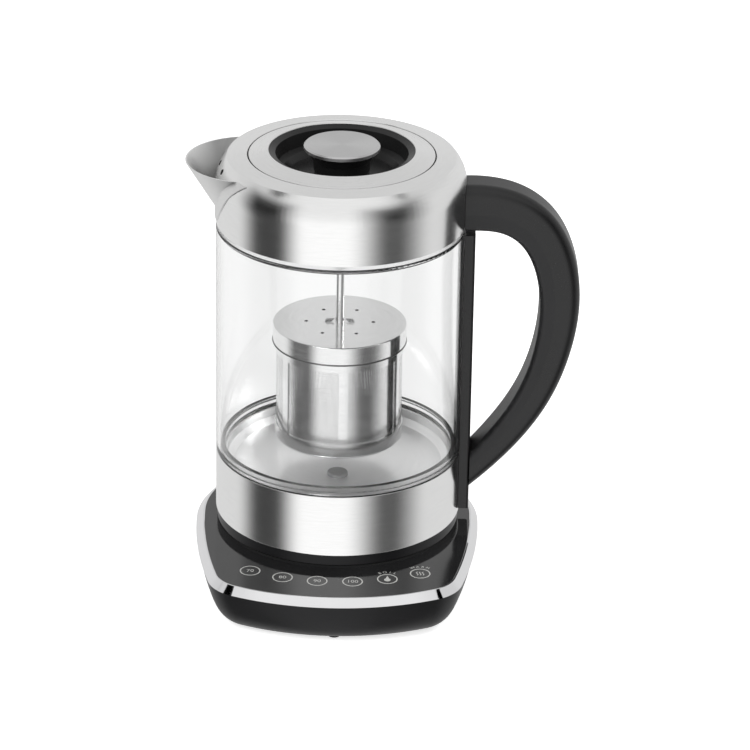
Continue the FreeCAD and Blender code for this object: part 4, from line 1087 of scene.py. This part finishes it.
@dataclass
class PaintedShadeMarks:
    """Painted shade in the cap's vents and the strainer's top row, and dark cords of painted shadow under
    the cap's band and in the lid's seam.
    """

    # Flat faces lie this far above the surface they belong to
    lift: float = 0.00004
    hole_sides: int = 20
    vent_ring: float = 0.0195
    vent_radius: float = 0.0011
    vent_count: int = 6
    strainer_level: float = 0.2523
    strainer_radius: float = 0.0017
    strainer_turns: tuple[float, ...] = (-12.3, -0.4, 11.5)
    # The shoulder is an arc round a circle above the collar's wall
    shoulder_round: float = 0.0229
    shoulder_level: float = 0.242
    cord_sides: int = 144
    wire_sides: int = 8
    # Dark cord of painted shadow in the gap under the cap's band: half its thickness and its inset
    gap_shadow_wire: float = 0.0006
    gap_shadow_inset: float = 0.0002
    # Dark cord of painted shade in the lid's seam: half its thickness, its gap from the lid's ring and its
    # height
    seam_shade_wire: float = 0.00038
    seam_gap: float = 0.0002
    seam_level: float = 0.25845

    def vent_shade(self, shop: FinishShop) -> bpy.types.Object:
        """Makes dark discs over the round openings on a circle in the cap's top, as painted shade inside
        them.

        Args:
            shop: Store of finishes.

        Returns:
            The piece.
        """
        tree = GeometryTree("vent_shade_discs")
        ring = tree.given("Ring Radius", self.vent_ring)
        radius = tree.given("Vent Radius", self.vent_radius)
        count = tree.given("Count", self.vent_count, "Int")
        level = tree.given("Level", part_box("infuser_cap")[1].z + self.lift)
        plan = tree.result("MeshCircle", Vertices=count, Radius=ring)
        raised = tree.result("Transform", Geometry=plan, Translation=tree.point(Z=level))
        disc = tree.result("MeshCircle", {"fill_type": "NGON"}, Vertices=self.hole_sides, Radius=radius)
        item = tree.piece(tree.repeat(raised, disc), shop.get("painted_opening_shade"))
        face_up(item.data)
        return item

    def cord(self, name: str, reach: float, height: float, wire: float,
             finish: bpy.types.Material) -> bpy.types.Object:
        """Makes a thin round cord laid round the axis.

        Args:
            name: Name of the piece.
            reach: Distance of its middle from the axis.
            height: Height of its middle.
            wire: Half its thickness.
            finish: Its material.

        Returns:
            The piece.
        """
        tree = GeometryTree(name)
        radius = tree.given("Ring Radius", reach)
        half = tree.given("Wire Radius", wire)
        level = tree.given("Level", height)
        raised = tree.result("Transform", Geometry=tree.ring(self.cord_sides, radius),
                             Translation=tree.point(Z=level))
        roll = tree.result("CurveToMesh", Curve=raised, Profile_Curve=tree.ring(self.wire_sides, half))
        return tree.piece(roll, finish)

    def gap_shadow(self, shop: FinishShop) -> bpy.types.Object:
        """Makes a thin dark cord round the cap's lower edge, as painted shadow in the gap under the cap's
        band.

        Args:
            shop: Store of finishes.

        Returns:
            The piece.
        """
        low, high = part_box("infuser_cap")
        return self.cord("cap_gap_shadow", high.x - self.gap_shadow_inset, low.z + self.gap_shadow_inset, self.gap_shadow_wire,
                         shop.get("painted_gap_shadow"))

    def seam_shade(self, shop: FinishShop) -> bpy.types.Object:
        """Makes a thin dark cord in the seam between the lid's ring and the collar, as painted shade of the
        gap.

        Args:
            shop: Store of finishes.

        Returns:
            The piece.
        """
        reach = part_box("lid_ring")[1].x + self.seam_gap
        return self.cord("lid_seam_shade", reach, self.seam_level, self.seam_shade_wire, shop.get("rubber_black"))

    def strainer(self, shop: FinishShop) -> bpy.types.Object:
        """Makes dark discs for the top row of strainer holes, flush on the shoulder inside the spout, as
        painted shade in the holes.

        Args:
            shop: Store of finishes.

        Returns:
            The piece.
        """
        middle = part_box("lower_collar")[1].x - self.shoulder_round
        lean = math.asin((self.strainer_level - self.shoulder_level) / self.shoulder_round)
        reach = middle + (self.shoulder_round + self.lift * 2) * math.cos(lean)
        angles = [2 * math.pi * step / self.hole_sides for step in range(self.hole_sides)]
        rim = [(0.0, self.strainer_radius * math.sin(angle), self.strainer_radius * math.cos(angle))
               for angle in angles]
        on_shoulder = Matrix.Translation((reach, 0, self.strainer_level)) @ Matrix.Rotation(-lean, 4, "Y")
        moves = [Matrix.Rotation(math.pi - math.radians(turn), 4, "Z") @ on_shoulder
                 for turn in self.strainer_turns]
        return flat_piece("strainer_shade_row", [flat_face("strainer_shade_disc", rim, move) for move in moves],
                          shop.get("painted_opening_shade"))

    def build(self, shop: FinishShop) -> None:
        """Makes the painted shade in the openings, and the dark cords of painted shadow under the cap's
        band and in the seam.

        Args:
            shop: Store of finishes.
        """
        fit_piece(self.vent_shade(shop), Body.LID, "polished_steel")
        fit_piece(self.gap_shadow(shop), Body.LID, "polished_steel")
        fit_piece(self.seam_shade(shop), Body.LID, "rubber_black")
        fit_piece(self.strainer(shop), Body.KETTLE, "brushed_steel")


# Studio


@dataclass(frozen=True)
class Flag:
    """Dark flag beside the set, as metal and mirrored glass see it, in degrees from the camera's side."""

    azimuth: float
    half_width: float
    fade: float
    darkness: float


@dataclass(frozen=True)
class Card:
    """Small black card above a flag, which the chrome trim shows, in degrees from the camera's side."""

    azimuth: float
    half_width: float
    fade: float = 1.0


@dataclass(frozen=True)
class Lamp:
    """Square soft lamp that faces the object."""

    name: str
    place: tuple[float, float, float]
    side: float
    watts: float
    aim_height: float = 0.13

    def build(self) -> None:
        """Hangs the lamp, out of sight of metal and glass."""
        data = bpy.data.lights.new(self.name, "AREA")
        data.size = self.side
        data.energy = self.watts
        item = link_object(self.name, data)
        item.visible_glossy = False
        item.location = self.place
        backwards = Vector(self.place) - Vector((0, 0, self.aim_height))
        item.rotation_euler = backwards.to_track_quat("Z", "Y").to_euler()


@dataclass
class Studio:
    """Floor, sky and lamps."""

    floor_reach: float = 4.0
    floor_glow: float = 0.7
    floor_colour: Colour = (0.9, 0.9, 0.9)
    fill: float = 0.82
    # Levels of the set below and above the horizon: in front, and elsewhere for metal and for glass
    front: Span = (1.33, 1.08)
    rear_metal: Span = (0.9, 0.82)
    rear_glass: Span = (1.22, 0.92)
    # Heights of a direction between which those levels change, and degrees between which the front ends
    front_rise: Span = (-0.25, 0.25)
    rear_rise: Span = (0.22, 0.45)
    front_end: Span = (45.0, 75.0)
    # Heights between which a flag gains its full darkness at its foot, and ends at its top
    flag_foot: Span = (-0.35, 0.05)
    flag_top: Span = (0.3, 0.6)
    flags: tuple[Flag, ...] = (Flag(-70.0, 10.0, 28.0, 0.93), Flag(50.0, 4.0, 40.0, 0.9))
    card_foot: Span = (0.6, 0.62)
    card_top: Span = (0.8, 0.82)
    cards: tuple[Card, ...] = (Card(-77.0, 8.0), Card(73.0, 3.5))
    lamps: tuple[Lamp, ...] = (Lamp("key_lamp", (-0.9, -1.3, 1.7), 0.9, 14.0),
                               Lamp("rim_lamp", (1.5, 0.5, 1.2), 0.7, 9.0))

    def floor(self) -> None:
        """Lays the white floor that keeps the object's shadow."""
        reach = self.floor_reach
        corners = [(-reach, -reach, 0), (reach, -reach, 0), (reach, reach, 0), (-reach, reach, 0)]
        mesh = flat_face("floor", corners, Matrix())
        tree = ShaderTree("floor")
        seen = tree.add("LightPath").outputs["Is Camera Ray"]
        paint = tree.result("BsdfDiffuse", Color=shade(self.floor_colour, 1.0))
        glow = tree.result("Emission", Color=(1.0, 1.0, 1.0, 1.0),
                           Strength=tree.math("MULTIPLY", seen, self.floor_glow))
        mesh.materials.append(tree.finish(tree.fill(tree.add("AddShader"), paint, glow)))
        item = link_object("floor", mesh)
        item.visible_glossy = False
        item.visible_transmission = False

    def shadow(self, tree: NodeTree, turn: Socket, height: Socket) -> Socket:
        """What the flags and cards leave of the set's light.

        Args:
            tree: Tree of the world.
            turn: Azimuth of the direction, in degrees from the camera's side.
            height: Height of the direction, from -1 to 1.

        Returns:
            A factor from 0 to 1.
        """
        left: Any = 1.0
        above = tree.spread(height, *self.flag_top, 0.0, 1.0, soft=True)
        for flag in self.flags:
            away = tree.math("ABSOLUTE", tree.math("SUBTRACT", turn, flag.azimuth))
            end = flag.half_width + flag.fade
            open_side = tree.spread(away, flag.half_width, end, 0.0, 1.0, soft=True)
            deepest = tree.spread(height, *self.flag_foot, 1.0 - flag.darkness, 0.0, soft=True)
            covered = tree.math("MULTIPLY", tree.math("SUBTRACT", 1.0, open_side), deepest)
            passed = tree.math("MAXIMUM", tree.math("ADD", open_side, covered), above)
            left = tree.math("MULTIPLY", left, passed)
        for card in self.cards:
            away = tree.math("ABSOLUTE", tree.math("SUBTRACT", turn, card.azimuth))
            end = card.half_width + card.fade
            side = tree.spread(away, card.half_width, end, 1.0, 0.0, soft=True)
            over_foot = tree.spread(height, *self.card_foot, 0.0, 1.0, soft=True)
            under_top = tree.spread(height, *self.card_top, 1.0, 0.0, soft=True)
            covered = tree.math("MULTIPLY", side, tree.math("MULTIPLY", over_foot, under_top))
            left = tree.math("MULTIPLY", left, tree.math("SUBTRACT", 1.0, covered))
        return left

    def sky(self) -> None:
        """Makes plain fill for surfaces, and the white set with its dark flags for metal and glass."""
        world = bpy.data.worlds.new("studio")
        bpy.context.scene.world = world
        world.use_nodes = True
        tree = NodeTree(world.node_tree)
        tree.nodes.clear()
        x, y, z = tree.add("SeparateXYZ", Vector=tree.add("TexCoord").outputs["Generated"]).outputs
        azimuth = tree.math("ARCTAN2", x, tree.math("MULTIPLY", y, -1.0))
        turn = tree.math("MULTIPLY", azimuth, math.degrees(1))
        beside = tree.spread(tree.math("ABSOLUTE", turn), *self.front_end, 0.0, 1.0, soft=True)
        shadow = self.shadow(tree, turn, z)
        front = tree.spread(z, *self.front_rise, *self.front, soft=True)
        levels = []
        for low, high in (self.rear_metal, self.rear_glass):
            rear = tree.spread(z, *self.rear_rise, low, high, soft=True)
            change = tree.math("MULTIPLY", tree.math("SUBTRACT", rear, front), beside)
            levels.append(tree.math("MULTIPLY", tree.math("ADD", change, front), shadow))
        metal, glass = levels
        path = tree.add("LightPath").outputs
        # Glass shows a plain set, and the flags only in what metal mirrors behind it
        mirrored = tree.math("GREATER_THAN", path["Glossy Depth"], 0.5)
        plain = self.rear_glass[0]
        change = tree.math("MULTIPLY", tree.math("SUBTRACT", glass, plain), mirrored)
        seen_through = tree.math("ADD", change, plain)
        sky = tree.result("Background", Strength=self.fill)
        views = (("Is Glossy Ray", metal), ("Is Transmission Ray", seen_through), ("Is Camera Ray", 1.0))
        for ray, level in views:
            light = tree.result("Background", Strength=level)
            sky = tree.fill(tree.add("MixShader"), path[ray], sky, light).outputs[0]
        tree.add("OutputWorld", Surface=sky)

    def clear_mirror(self) -> None:
        """Keeps the dark base out of the mirror image in the lower collar, as a raised white card does."""
        for item in bpy.context.scene.objects:
            if item.type == "MESH" and Body.BASE.value in (body_of(item) or []):
                item.visible_glossy = False

    def build(self) -> None:
        """Sets up the whole studio."""
        self.floor()
        self.sky()
        self.clear_mirror()
        for lamp in self.lamps:
            lamp.build()


@dataclass
class Viewpoint:
    """Camera at the photograph's angle, for a square picture."""

    pitch: float = math.radians(24.533)
    roll: float = math.radians(0.991)
    focal_pixels: float = 3962.0
    frame_pixels: float = 750.0
    distance: float = 2.318
    axis_pixel: float = 339.10
    aim_height: float = 0.1201
    sensor_width: float = 36.0
    sight: float = 30.0

    def build(self) -> None:
        """Places the camera and makes it the scene's."""
        data = bpy.data.cameras.new("viewpoint")
        data.sensor_width = self.sensor_width
        data.lens = self.focal_pixels / self.frame_pixels * self.sensor_width
        data.clip_end = self.sight
        forward = Vector((0, math.cos(self.pitch), -math.sin(self.pitch)))
        up = Vector((0, math.sin(self.pitch), math.cos(self.pitch)))
        right = Vector((1, 0, 0))
        across = right * math.cos(self.roll) + up * math.sin(self.roll)
        upwards = up * math.cos(self.roll) - right * math.sin(self.roll)
        offset = (self.axis_pixel - self.frame_pixels / 2) / self.focal_pixels
        centre = Vector((0, 0, self.aim_height)) - (forward + across * offset) * self.distance
        axes = Matrix((across, upwards, -forward)).transposed().to_4x4()
        camera = link_object("viewpoint", data)
        camera.matrix_world = Matrix.Translation(centre) @ axes
        bpy.context.scene.camera = camera


def main() -> None:
    """Builds the picture in order and reports each piece."""
    logging.basicConfig(level=logging.INFO, format="%(message)s")
    bpy.context.scene.view_settings.view_transform = "Standard"
    shop = FinishShop()
    for part in (SolidFinishes(), PanelPrint(), InfuserWeave(), PaintedShadeMarks()):
        part.build(shop)
    Studio().build()
    Viewpoint().build()


if __name__ == "__main__":
    main()
